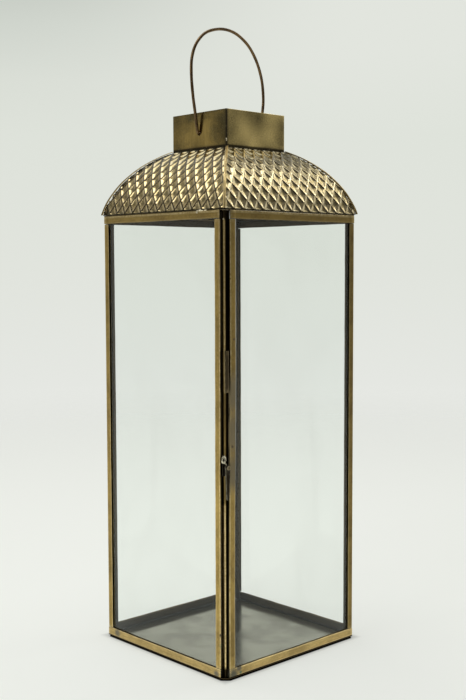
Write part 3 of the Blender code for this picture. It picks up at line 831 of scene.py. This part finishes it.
# ------------------------------------------------------------------- chimney
def chimney_piece(material):
    h, t, z0, z1, r = 38.93, 0.7, 485.0, 522.0, 1.1
    path = []

    def run(ax, ay, bx, by, n):
        for k in range(n):
            f = k / n
            path.append((ax + (bx - ax) * f, ay + (by - ay) * f, 0.0))

    def bend(cx, cy, a0):
        for k in range(6):
            a = math.radians(a0 + 90 * k / 5)
            path.append((cx + r * math.cos(a), cy + r * math.sin(a), 1.0))

    n = 30
    run(-h + 0.05, -h, h - r, -h, n)
    bend(h - r, -h + r, -90)
    run(h, -h + r, h, h - r, n)
    bend(h - r, h - r, 0)
    run(h - r, h, -h + r, h, n)
    bend(-h + r, h - r, 90)
    run(-h, h - r, -h, -h + t + 0.35, n)
    path.append((-h, -h + t + 0.35, 0.0))
    flat = np.array([(p[0], p[1]) for p in path])
    step = np.gradient(flat, axis=0)
    step /= np.linalg.norm(step, axis=1)[:, None]
    out = np.stack([step[:, 1], -step[:, 0]], 1)
    heights = [z0, z0 + 0.3] + list(np.linspace(z0 + 2.5, z1 - 1.6, 16)) + [z1 - 0.5, z1 - 0.15, z1]
    outer_rows, inner_rows, edge_o, corner = [], [], [], [p[2] for p in path]
    for z in heights:
        row_o, row_i = [], []
        v = (z - z0) / (z1 - z0)
        for i, (x, y) in enumerate(flat):
            along = (x if abs(y) > abs(x) else y) / h
            quiet = max(0.0, 1 - abs(along) ** 6)
            tone = 0.32 * math.sin(3.0 * along + 1.3 * i / len(flat) * 6.28 + 4.1 * v) + 0.2 * math.sin(6.1 * along - 3.0 * v + 1.0)
            push = tone * quiet * math.sin(math.pi * min(1.0, v * 1.15)) * 0.55
            chamfer = 0.12 if z in (z0, z1) else 0.0
            row_o.append((x + out[i][0] * (push - chamfer), y + out[i][1] * (push - chamfer), z))
            row_i.append((x + out[i][0] * (push - t + chamfer), y + out[i][1] * (push - t + chamfer), z))
        outer_rows.append(row_o)
        inner_rows.append(row_i)
    m, rows = len(path), len(heights)
    points, edge, inside = [], [], []
    for rset, within in ((outer_rows, 0.0), (inner_rows, 1.0)):
        for k, row in enumerate(rset):
            for i, p in enumerate(row):
                points.append(p)
                top = max(0.0, 1 - (z1 - heights[k]) / 3.0)
                seam = max(0.0, 1 - min(i, m - 1 - i) / 3.0)
                edge.append(min(1.0, max(top, seam, 0.7 * corner[i])))
                inside.append(within)
    faces = []
    back = rows * m
    for k in range(rows - 1):
        for i in range(m - 1):
            a, b = k * m + i, k * m + i + 1
            c, d = (k + 1) * m + i + 1, (k + 1) * m + i
            faces.append((a, b, c, d))
            faces.append((back + b, back + a, back + d, back + c))
        faces.append((k * m, (k + 1) * m, back + (k + 1) * m, back + k * m))
        e = m - 1
        faces.append((k * m + e, back + k * m + e, back + (k + 1) * m + e, (k + 1) * m + e))
    for i in range(m - 1):
        faces.append((i + 1, i, back + i, back + i + 1))
        k = (rows - 1) * m
        faces.append((k + i, k + i + 1, back + k + i + 1, back + k + i))
    obj = mesh_piece("chimney_folded", points, faces, material, {"edge": edge, "inside": inside}, sharp=50)
    drills = []
    for sign in (-1, 1):
        bm = bmesh.new()
        bmesh.ops.create_cone(bm, cap_ends=True, segments=32, radius1=1.95 * MM, radius2=1.95 * MM, depth=6 * MM)
        bmesh.ops.transform(bm, matrix=Matrix.Rotation(math.pi / 2, 4, "Y"), verts=bm.verts)
        bmesh.ops.translate(bm, vec=(sign * h * MM, 0, 501.7 * MM), verts=bm.verts)
        mesh = bpy.data.meshes.new("drill")
        bm.to_mesh(mesh)
        bm.free()
        drill = bpy.data.objects.new("drill", mesh)
        scene.collection.objects.link(drill)
        mod = obj.modifiers.new("hole", "BOOLEAN")
        mod.operation, mod.object, mod.solver = "DIFFERENCE", drill, "EXACT"
        drills.append(drill)
    bpy.context.view_layer.update()
    graph = bpy.context.evaluated_depsgraph_get()
    done = bpy.data.meshes.new_from_object(obj.evaluated_get(graph))
    obj.modifiers.clear()
    obj.data = done
    done.materials.clear()
    done.materials.append(material)
    done.shade_smooth()
    done.set_sharp_from_angle(angle=math.radians(50))
    for drill in drills:
        bpy.data.objects.remove(drill, do_unlink=True)
    return adopt(obj, "body", "chimney")


# ---------------------------------------------------------------------- bail
BAIL_Z, S, TOP = 501.7, 48.1, 605.0 - 501.7
BAIL_LINE = [
    (-34.6, -4.4), (-34.9, -2.0), (-36.3, -0.25), (-38.3, 0.0), (-39.6, 0.35),
    (-40.7, 1.9), (-41.5, 7.0), (-43.9, 21.5), (-46.4, 36.0), (-S, 54.0),
    (-47.2, 71.0), (-41.6, 85.0), (-30.5, 96.2), (-16.0, TOP - 1.4), (-1.5, TOP),
    (13.0, TOP - 3.0), (27.5, TOP - 11.8), (39.0, TOP - 26.0), (45.9, TOP - 42.5),
    (S, TOP - 60.0), (47.2, 30.5), (44.2, 14.5), (41.4, 3.6), (40.0, 0.5),
    (38.3, 0.0), (36.3, -0.25), (34.9, -2.0), (34.6, -4.4),
]


def smooth_line(points, per_span):
    p = np.array(points, float)
    p = np.vstack([2 * p[0] - p[1], p, 2 * p[-1] - p[-2]])
    out = []
    for i in range(1, len(p) - 2):
        span = float(np.linalg.norm(p[i + 1] - p[i]))
        n = max(2, round(span / per_span))
        for k in range(n):
            s = k / n
            out.append(0.5 * (
                2 * p[i] + (p[i + 1] - p[i - 1]) * s
                + (2 * p[i - 1] - 5 * p[i] + 4 * p[i + 1] - p[i + 2]) * s * s
                + (3 * p[i] - p[i - 1] - 3 * p[i + 1] + p[i + 2]) * s ** 3
            ))
    out.append(p[-2])
    return out


def bail_piece(material):
    line = smooth_line(BAIL_LINE, 2.2)
    flat = np.array(line)
    step = np.gradient(flat, axis=0)
    step /= np.linalg.norm(step, axis=1)[:, None]
    count = 20
    rings = []
    last = len(flat) - 1
    stations = [(0, 0.35), (0, 0.8), (0, 1.0)] + [(i, 1.0) for i in range(1, last)] + [(last, 1.0), (last, 0.8), (last, 0.35)]
    for n, (i, shrink) in enumerate(stations):
        x, z = flat[i]
        tx, tz = step[i]
        push = {0.35: 0.0, 0.8: 0.15, 1.0: 0.5}[shrink] if i in (0, last) else 0.0
        sign = 1 if i == 0 else -1
        x += sign * tx * push
        z += sign * tz * push
        r = 1.45 * shrink * (1 + 0.02 * wave(i * 2.2, 2.0, ((17.0, 1.0),)))
        y0 = 0.25 * wave(i * 2.2, 5.0, ((120.0, 0.7), (43.0, 0.3))) * math.sin(math.pi * i / last)
        ring = []
        for k in range(count):
            a = 2 * math.pi * k / count
            # across the line in the bail's plane, and along y
            ring.append((x - tz * r * math.cos(a), y0 + r * math.sin(a), BAIL_Z + z + tx * r * math.cos(a)))
        rings.append(ring)
    obj = tube("bail_wire", rings, material, sharp=60)
    return adopt(obj, "bail", "bail_handle")


# --------------------------------------------------------------- corner posts
def post_piece(name, sx, sy, material, seed):
    """A folded angle with a rounded outer corner."""
    o, leg, t, r = 86.3, 9.0, 0.9, 1.0
    outer = [(o - leg, o, 0.9), (o - leg + 1.0, o, 0.1), (o - leg / 2, o, 0.0), (o - 1.9, o, 0.1)]
    for k in range(6):
        a = math.radians(90 - 90 * k / 5)
        outer.append((o - r + r * math.cos(a), o - r + r * math.sin(a), 1.0 if 0 < k < 5 else 0.6))
    outer += [(o, o - 1.5, 0.6), (o, o - 3.0, 0.5), (o, o - leg / 2, 0.0), (o, o - leg + 1.0, 0.1), (o, o - leg, 0.9)]
    inner = [(o - t, o - leg, 0.0), (o - t, o - leg / 2, 0.0), (o - t - 0.25, o - t - 0.25, 0.0), (o - leg / 2, o - t, 0.0), (o - leg, o - t, 0.0)]
    section = [(x, y, e, 0.0) for x, y, e in outer] + [(x, y, e, 1.0) for x, y, e in inner]
    z0, z1 = 3.0, 424.2
    rings, edge, inside, recess = [], [], [], []
    for z in np.linspace(z0, z1, 130):
        bow = 0.10 * wave(z, seed)
        end = min(1.0, max(0.0, (min(z - z0, z1 - z) - 7.0) / 1.5))
        # the corner edge is rubbed and painted bright low down (painted highlight), painted shade in the middle, dull
        # brass above
        rub_and_light = 1.0 if z < 160 else (0.12 if z < 262 else 0.62)
        corner_light = 1.0 if z < 160 else (0.5 if z < 262 else 0.9)
        ring = []
        for x, y, e, i in section:
            ring.append((sx * (x + min(0.0, bow) * 0.8), sy * (y + min(0.0, bow) * 0.8), z))
            reach = 3.4 if z < 160 else 1.6
            at_corner = 1.0 if (x > o - 1.6 and y > o - reach and i < 0.5) else 0.0
            edge.append(e * end * rub_and_light * at_corner)
            inside.append(i)
            # painted shade: the legs beside the corner edge go near black, the inner faces half dark
            recess.append(1.0 - at_corner * end * corner_light if i < 0.5 else 0.55)
        rings.append(ring)
    obj = tube(name + "_folded", rings, material, fields={"edge": edge, "inside": inside, "recess": recess})
    return adopt(obj, "body", name)


# ---------------------------------------------------------------- build pieces
GREEN = (0.16, 0.24, 0.15)
BROWN = (0.10, 0.07, 0.04)
PALE = (0.80, 0.78, 0.68)

GREY = (0.24, 0.21, 0.14)
DULL = (0.25, 0.20, 0.11)
spots_for = {
    "door_bottom_rail": [
        ((-80.0, -90.0, 5.0), 8.0, (0.16, 0.15, 0.10)), ((-73.0, -90.0, 9.5), 5.0, GREY),
        ((-71.0, -90.0, 5.0), 2.2, GREEN),
    ],
    "left_panel_bottom_rail": [((-90.0, -78.0, 5.0), 5.0, GREY), ((-90.0, 70.0, 7.0), 6.0, GREY)],
    "left_panel_front_stile": [((-90.0, -86.0, 32.0), 4.0, GREEN), ((-90.0, -84.0, 42.0), 2.4, BROWN)],
    "door_latch_stile": [
        ((-79.0, -90.0, 262.0), 26.0, DULL), ((-79.0, -90.0, 226.0), 26.0, DULL), ((-79.0, -90.0, 190.0), 24.0, DULL),
        ((-80.5, -90.0, 214.0), 2.0, BROWN), ((-78.0, -90.0, 310.0), 1.6, BROWN),
    ],
}

# painted light level per piece: these pieces are lit and shaded copies of one brass
PAINTED_LIGHT_LEVELS = {
    "door_hinge_stile": 0.50, "left_panel_back_stile": 0.90, "door_top_rail": 0.64,
    "left_panel_top_rail": 0.83, "door_latch_stile": 0.78, "left_panel_front_stile": 1.04,
}
seed = 0.0
for prefix, (left_name, right_name) in NAMES.items():
    for kind, side, node in (
        ("stile", -1, f"{prefix}_{left_name}_stile"), ("stile", 1, f"{prefix}_{right_name}_stile"),
        ("rail", -1, f"{prefix}_bottom_rail"), ("rail", 1, f"{prefix}_top_rail"),
    ):
        seed += 1.37
        grain = (1, 1, 0.06) if kind == "stile" else (
            (0.06, 1, 1) if prefix in ("door", "back_panel") else (1, 0.06, 1))
        bottom = node.endswith("bottom_rail")
        tone = PAINTED_LIGHT_LEVELS.get(node, 1.0)
        material = brass(
            "brass_" + node, grain=grain, spots=spots_for.get(node, ()),
            base=(0.64, 0.465, 0.185) if bottom else (0.54, 0.375, 0.118),
            tarnish=0.45 if bottom else 0.6, bright=tone,
        )
        channel(node, prefix, kind, side, material, seed)
    leaning = (lambda x, y, z: (x + door_lean(x, z), y, z, 0.0)) if prefix == "door" else None
    refined(f"{prefix}_glass", window_glass("glass_" + prefix, seed), width=0.15, shape=leaning)

for name, sx, sy in (
    ("front_left", -1, -1), ("front_right", 1, -1), ("back_left", -1, 1), ("back_right", 1, 1),
):
    seed += 1.1
    post_piece("corner_post_" + name, sx, sy, brass("brass_post_" + name, tarnish=0.55), seed)

TURNS = (
    ("front", 0.0, "front_left", 3.9, 9.0), ("right", math.pi / 2, "front_right", 2.1, 8.6),
    ("back", math.pi, "back_right", 5.0, 9.4), ("left", -math.pi / 2, "back_left", 2.8, 9.6),
)
# per side: the strength of painted shade towards the chimney, and the ridge colour
LOOKS = {
    "front": (0.8, (0.88, 0.75, 0.48)), "right": (0.7, (0.92, 0.75, 0.42)),
    "back": (0.7, (0.92, 0.75, 0.42)), "left": (0.72, (0.92, 0.74, 0.42)),
}
for k, (side, turn, hip, u0, s0) in enumerate(TURNS):
    roof_skin("roof_embossed_" + side, "roof_panel_" + side, turn, u0, s0, 11 + k, roof_brass("roof_" + side, *LOOKS[side]), side == "left")
    # the back-left hip strip is painted at half brightness: painted shade
    hip_strip(
        "hip_strip_" + hip, "hip_seam_" + hip, turn, 2.0 + k,
        brass(
            "brass_hip_" + hip, base=(0.50, 0.365, 0.15), grain=(0.2, 0.2, 0.2), tarnish=0.6,
            bright=0.5 if hip == "back_left" else 1.0,
        ),
    )

chimney_piece(chimney_brass("chimney_sheet"))
bail_piece(wire_bronze("bail_bronze"))

DARK = dict(base=(0.20, 0.15, 0.08), dark=(0.08, 0.06, 0.035), worn=(0.50, 0.40, 0.24))
refined("base_plate", tinned_sheet("tin_base"), width=0.12, cuts=3)
# the foot rim is painted near black: painted shade under the base
refined("foot_rim", brass("brass_foot_rim", base=(0.08, 0.06, 0.03), dark=(0.035, 0.028, 0.018), worn=(0.2, 0.15, 0.08), rough=0.5), width=0.2, cuts=1)
# painted shade: the ring's corners and its outer edge past 88.6 mm are near black, its inner faces dark
refined("eave_ring", brass(
    "brass_eave_ring", grain=(1, 1, 1), tarnish=0.4, inside=(0.05, 0.04, 0.03),
    spots=[((sx * 88.0, sy * 88.0, 425.0), 7.0, (0.02, 0.016, 0.01)) for sx in (-1, 1) for sy in (-1, 1)],
), width=0.12, cuts=2, recess=lambda x, y, z: 0.9 if max(abs(x), abs(y)) > 88.6 else 0.0)
LOOP = (-92.1, -91.2, 203.1)


def pulled_loop(x, y, z):
    """The thumb ring drawn into a taller loop and marked as a bright edge: rubbed, and a painted highlight."""
    away = math.hypot(x - LOOP[0], z - LOOP[2])
    if away > 3.1:
        return x, y, z, 0.0
    lift = z - LOOP[2]
    return x + 0.14 * lift, y, LOOP[2] + lift * 1.3 + 0.6, 1.0


# the tongue below z 199 is painted dark (painted shade); the thumb ring is painted bright (painted highlight)
refined(
    "latch_lever", brass(
        "brass_latch_lever", grain=(1, 1, 0.3), base=(0.09, 0.068, 0.036), dark=(0.04, 0.03, 0.018),
        worn=(1.0, 0.93, 0.70), rough=0.20, tarnish=0.5,
    ), width=0.2, segments=3, cuts=2, longest=1.6, shape=pulled_loop,
    recess=lambda x, y, z: 0.0 if z > 199.0 else (0.92 if x > -88.6 + (200 - z) * 0.02 else 0.78),
)
# painted dark, its back (y > -87.5) black: painted shade
refined(
    "latch_bracket", brass("brass_latch_bracket", grain=(1, 1, 0.3), base=(0.14, 0.11, 0.06), worn=(0.7, 0.6, 0.4)),
    width=0.14, segments=3, cuts=1, longest=1.6,
    recess=lambda x, y, z: 1.0 if y > -87.5 else 0.0,
)
# painted near black, its back (y > -90.1) blacker still: painted shade
refined(
    "corner_clip", brass(
        "brass_corner_clip", grain=(1, 1, 0.2), base=(0.075, 0.056, 0.03), dark=(0.04, 0.03, 0.017),
        worn=(0.30, 0.235, 0.125),
    ), width=0.2, segments=3, cuts=3, longest=1.6,
    recess=lambda x, y, z: 1.0 if y > -90.1 else 0.0,
)
refined("door_pivot_bottom", brass("brass_pivot_bottom", **DARK), width=0.1)
refined("door_pivot_top", brass("brass_pivot_top", **DARK), width=0.1)

TIN = solder("solder_bright")
bead("solder_left_top", (-90.1, -58.0, 424.4), (0.9, 4.2, 0.9), 1.0, "body", TIN)
bead("solder_left_top_drop", (-90.3, -55.0, 423.3), (0.6, 1.2, 1.0), 2.2, "body", TIN)
bead("solder_left_top_end", (-90.0, -66.0, 424.6), (0.7, 1.9, 0.6), 3.1, "body", TIN)
bead("solder_post_top", (-86.6, -85.9, 416.2), (0.9, 0.9, 0.6), 1.7, "body", TIN)
bead("solder_chimney_seam", (-39.2, -39.3, 493.2), (0.55, 0.55, 1.5), 2.9, "body", TIN)
bead("solder_base_right", (71.5, 80.5, 3.1), (1.4, 1.2, 0.5), 0.6, "body", TIN)

# ---------------------------------------------------------------------- stage
floor_mesh = bpy.data.meshes.new("floor")
bm = bmesh.new()
bmesh.ops.create_circle(bm, cap_ends=True, cap_tris=True, segments=96, radius=2.6)
bm.to_mesh(floor_mesh)
bm.free()
floor = bpy.data.objects.new("floor", floor_mesh)
scene.collection.objects.link(floor)
f = Shader("floor_paper")
paper = f.node("ShaderNodeBsdfDiffuse")
paper.inputs["Color"].default_value = (0.44, 0.445, 0.425, 1.0)
glow = f.node("ShaderNodeEmission")
glow.inputs["Color"].default_value = (0.98, 1.0, 0.955, 1.0)
reach = f.node("ShaderNodeSeparateXYZ")
f.put(reach.inputs[0], f.place)
square = f.math("MAXIMUM", f.math("ABSOLUTE", reach.outputs["X"]), f.math("ABSOLUTE", reach.outputs["Y"]))
diamond = f.math("ADD", f.math("ABSOLUTE", reach.outputs["X"]), f.math("ABSOLUTE", reach.outputs["Y"]))
# painted shadow: the floor turns black under the base and its glow dims close to it
under = f.math("MAXIMUM", square, f.math("SUBTRACT", diamond, 0.0835))
f.put(glow.inputs["Strength"], f.math("MULTIPLY", f.remap(under, 0.0890, 0.0903), f.remap(square, 0.0885, 0.0960, 0.30, 0.50)))
f.put(paper.inputs["Color"], f.mix(f.remap(under, 0.0890, 0.0903), (0.012, 0.011, 0.010), (0.44, 0.445, 0.425)))
lit = f.node("ShaderNodeAddShader")
f.put(lit.inputs[0], paper.outputs[0])
f.put(lit.inputs[1], glow.outputs[0])
gone = f.node("ShaderNodeBsdfTransparent")
away = f.node("ShaderNodeVectorMath", operation="LENGTH")
f.put(away.inputs[0], f.place)
both = f.node("ShaderNodeMixShader")
f.put(both.inputs[0], f.remap(away.outputs["Value"], 0.9, 2.4))
f.put(both.inputs[1], lit.outputs[0])
f.put(both.inputs[2], gone.outputs[0])
f.put(f.out.inputs["Surface"], both.outputs[0])
floor_mesh.materials.append(f.mat)
floor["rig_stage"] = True

world = bpy.data.worlds.new("studio")
scene.world = world
world.use_nodes = True
tree = world.node_tree
tree.nodes.clear()


def world_ramp(height, stops):
    ramp = tree.nodes.new("ShaderNodeValToRGB")
    tree.links.new(height, ramp.inputs[0])
    while len(ramp.color_ramp.elements) > 1:
        ramp.color_ramp.elements.remove(ramp.color_ramp.elements[0])
    first = True
    for at, colour in stops:
        element = ramp.color_ramp.elements[0] if first else ramp.color_ramp.elements.new(at)
        element.position = at
        element.color = (*colour, 1.0)
        first = False
    return ramp.outputs[0]


def srgb(r, g, b):
    return tuple(
        (c / 255 / 12.92) if c / 255 <= 0.04045 else ((c / 255 + 0.055) / 1.055) ** 2.4
        for c in (r, g, b)
    )


direction = tree.nodes.new("ShaderNodeTexCoord").outputs["Generated"]
split = tree.nodes.new("ShaderNodeSeparateXYZ")
tree.links.new(direction, split.inputs[0])
level = tree.nodes.new("ShaderNodeMapRange")
tree.links.new(split.outputs["Z"], level.inputs["Value"])
level.inputs["From Min"].default_value = -1.0
level.inputs["From Max"].default_value = 1.0
rise = level.outputs["Result"]


def at(degrees):
    return (math.sin(math.radians(degrees)) + 1) / 2


seen_left = world_ramp(rise, [
    (0.0, srgb(234, 235, 230)), (at(-21), srgb(234, 236, 231)), (at(-9), srgb(234, 236, 231)),
    (at(-5.8), srgb(229, 231, 226)), (at(0), srgb(225, 228, 221)), (at(6.7), srgb(222, 226, 218)),
    (at(9.5), srgb(218, 222, 214)), (at(12.2), srgb(207, 212, 204)), (at(13.8), srgb(198, 203, 195)),
    (1.0, srgb(198, 203, 195)),
])
seen_right = world_ramp(rise, [
    (0.0, srgb(234, 235, 230)), (at(-21), srgb(234, 236, 231)), (at(-9), srgb(234, 236, 231)),
    (at(-5.8), srgb(229, 231, 226)), (at(0), srgb(225, 228, 221)), (at(6.7), srgb(223, 227, 219)),
    (at(10.8), srgb(226, 229, 222)), (at(13.6), srgb(226, 229, 222)), (1.0, srgb(222, 226, 219)),
])
sideways = tree.nodes.new("ShaderNodeVectorMath")
sideways.operation = "DOT_PRODUCT"
tree.links.new(direction, sideways.inputs[0])
sideways.inputs[1].default_value = (0.73, -0.68, 0.0)
across = tree.nodes.new("ShaderNodeMapRange")
across.interpolation_type = "SMOOTHSTEP"
tree.links.new(sideways.outputs["Value"], across.inputs["Value"])
across.inputs["From Min"].default_value = -0.22
across.inputs["From Max"].default_value = 0.12
sky = tree.nodes.new("ShaderNodeMix")
sky.data_type = "RGBA"
tree.links.new(across.outputs["Result"], sky.inputs[0])
tree.links.new(seen_left, sky.inputs[6])
tree.links.new(seen_right, sky.inputs[7])
seen = sky.outputs[2]
dim = world_ramp(rise, [
    (0.0, (0.78, 0.78, 0.75)), (at(-20), (0.72, 0.72, 0.69)), (at(-6), (0.42, 0.42, 0.40)),
    (at(1), (0.16, 0.16, 0.155)), (at(12), (0.10, 0.10, 0.095)), (at(30), (0.08, 0.08, 0.075)),
    (at(60), (0.14, 0.14, 0.135)), (1.0, (0.28, 0.28, 0.27)),
])
bright = world_ramp(rise, [
    (0.0, (0.80, 0.80, 0.77)), (at(-10), (0.76, 0.77, 0.73)), (at(0), (0.62, 0.63, 0.59)),
    (at(15), (0.56, 0.57, 0.54)), (at(40), (0.46, 0.46, 0.44)), (at(65), (0.34, 0.34, 0.33)),
    (1.0, (0.28, 0.28, 0.27)),
])
flat = tree.nodes.new("ShaderNodeVectorMath")
flat.operation = "MULTIPLY"
tree.links.new(direction, flat.inputs[0])
flat.inputs[1].default_value = (1.0, 1.0, 0.0)
unit = tree.nodes.new("ShaderNodeVectorMath")
unit.operation = "NORMALIZE"
tree.links.new(flat.outputs["Vector"], unit.inputs[0])
towards = tree.nodes.new("ShaderNodeVectorMath")
towards.operation = "DOT_PRODUCT"
tree.links.new(unit.outputs["Vector"], towards.inputs[0])
towards.inputs[1].default_value = (0.68, 0.73, 0.0)
turn = tree.nodes.new("ShaderNodeMapRange")
turn.interpolation_type = "SMOOTHSTEP"
tree.links.new(towards.outputs["Value"], turn.inputs["Value"])
turn.inputs["From Min"].default_value = -0.35
turn.inputs["From Max"].default_value = 0.55
halves = tree.nodes.new("ShaderNodeMix")
halves.data_type = "RGBA"
tree.links.new(turn.outputs["Result"], halves.inputs[0])
tree.links.new(dim, halves.inputs[6])
tree.links.new(bright, halves.inputs[7])
around = halves.outputs[2]
path = tree.nodes.new("ShaderNodeLightPath")
pick = tree.nodes.new("ShaderNodeMix")
pick.data_type = "RGBA"
tree.links.new(path.outputs["Is Camera Ray"], pick.inputs[0])
tree.links.new(around, pick.inputs[6])
tree.links.new(seen, pick.inputs[7])
back = tree.nodes.new("ShaderNodeBackground")
tree.links.new(pick.outputs[2], back.inputs["Color"])
back.inputs["Strength"].default_value = 1.0
out = tree.nodes.new("ShaderNodeOutputWorld")
tree.links.new(back.outputs[0], out.inputs["Surface"])


def softbox(name, place, aim, size_x, size_y, radiance, colour=(1, 1, 1)):
    light = bpy.data.lights.new(name, "AREA")
    light.shape = "RECTANGLE"
    light.size, light.size_y = size_x, size_y
    light.energy = radiance * math.pi * size_x * size_y
    light.color = colour
    obj = bpy.data.objects.new(name, light)
    obj.location = place
    obj.rotation_euler = (Vector(aim) - Vector(place)).to_track_quat("-Z", "Y").to_euler()
    obj.visible_camera = False
    scene.collection.objects.link(obj)
    obj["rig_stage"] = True
    return obj


softbox("overhead", (-0.15, 0.42, 2.3), (-0.15, 0.36, 0.3), 1.7, 2.2, 2.15, (0.985, 1.0, 0.965))
softbox("right_box", (1.44, -0.40, 1.78), (0, 0, 0.4), 0.85, 0.95, 2.1, (0.985, 1.0, 0.965))
softbox("left_box", (-1.60, 0.05, 1.42), (0, 0, 0.45), 0.9, 1.25, 2.4, (0.985, 1.0, 0.965))

cam_data = bpy.data.cameras.new("camera")
cam = bpy.data.objects.new("camera", cam_data)
scene.collection.objects.link(cam)
scene.camera = cam
cam_data.sensor_fit = "VERTICAL"
cam_data.sensor_width = cam_data.sensor_height = 36.0
cam_data.lens = 56.31
cam_data.clip_start, cam_data.clip_end = 0.05, 50.0
eye, target = Vector((-0.7430, -0.7978, 0.37236)), Vector((0.00270, -0.00251, 0.29168))
ahead = (target - eye).normalized()
right = ahead.cross(Vector((0, 0, 1))).normalized()
up = right.cross(ahead)
roll = math.radians(-0.1722)
right2 = right * math.cos(roll) + up * math.sin(roll)
up2 = up * math.cos(roll) - right * math.sin(roll)
cam.matrix_world = Matrix((
    (right2.x, up2.x, -ahead.x, eye.x),
    (right2.y, up2.y, -ahead.y, eye.y),
    (right2.z, up2.z, -ahead.z, eye.z),
    (0, 0, 0, 1),
))
scene.view_settings.view_transform = "Standard"
scene.view_settings.look = "None"
scene.view_settings.exposure = 0.0
scene.view_settings.gamma = 1.0

bounds_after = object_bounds()


def plain(value):
    if isinstance(value, (list, tuple)):
        return [plain(v) for v in value]
    if isinstance(value, Vector):
        return [float(v) for v in value]
    if isinstance(value, np.ndarray):
        return value.tolist()
    if isinstance(value, dict):
        return {k: plain(v) for k, v in value.items()}
    return float(value)


{"before": plain(bounds_before), "after": plain(bounds_after)}
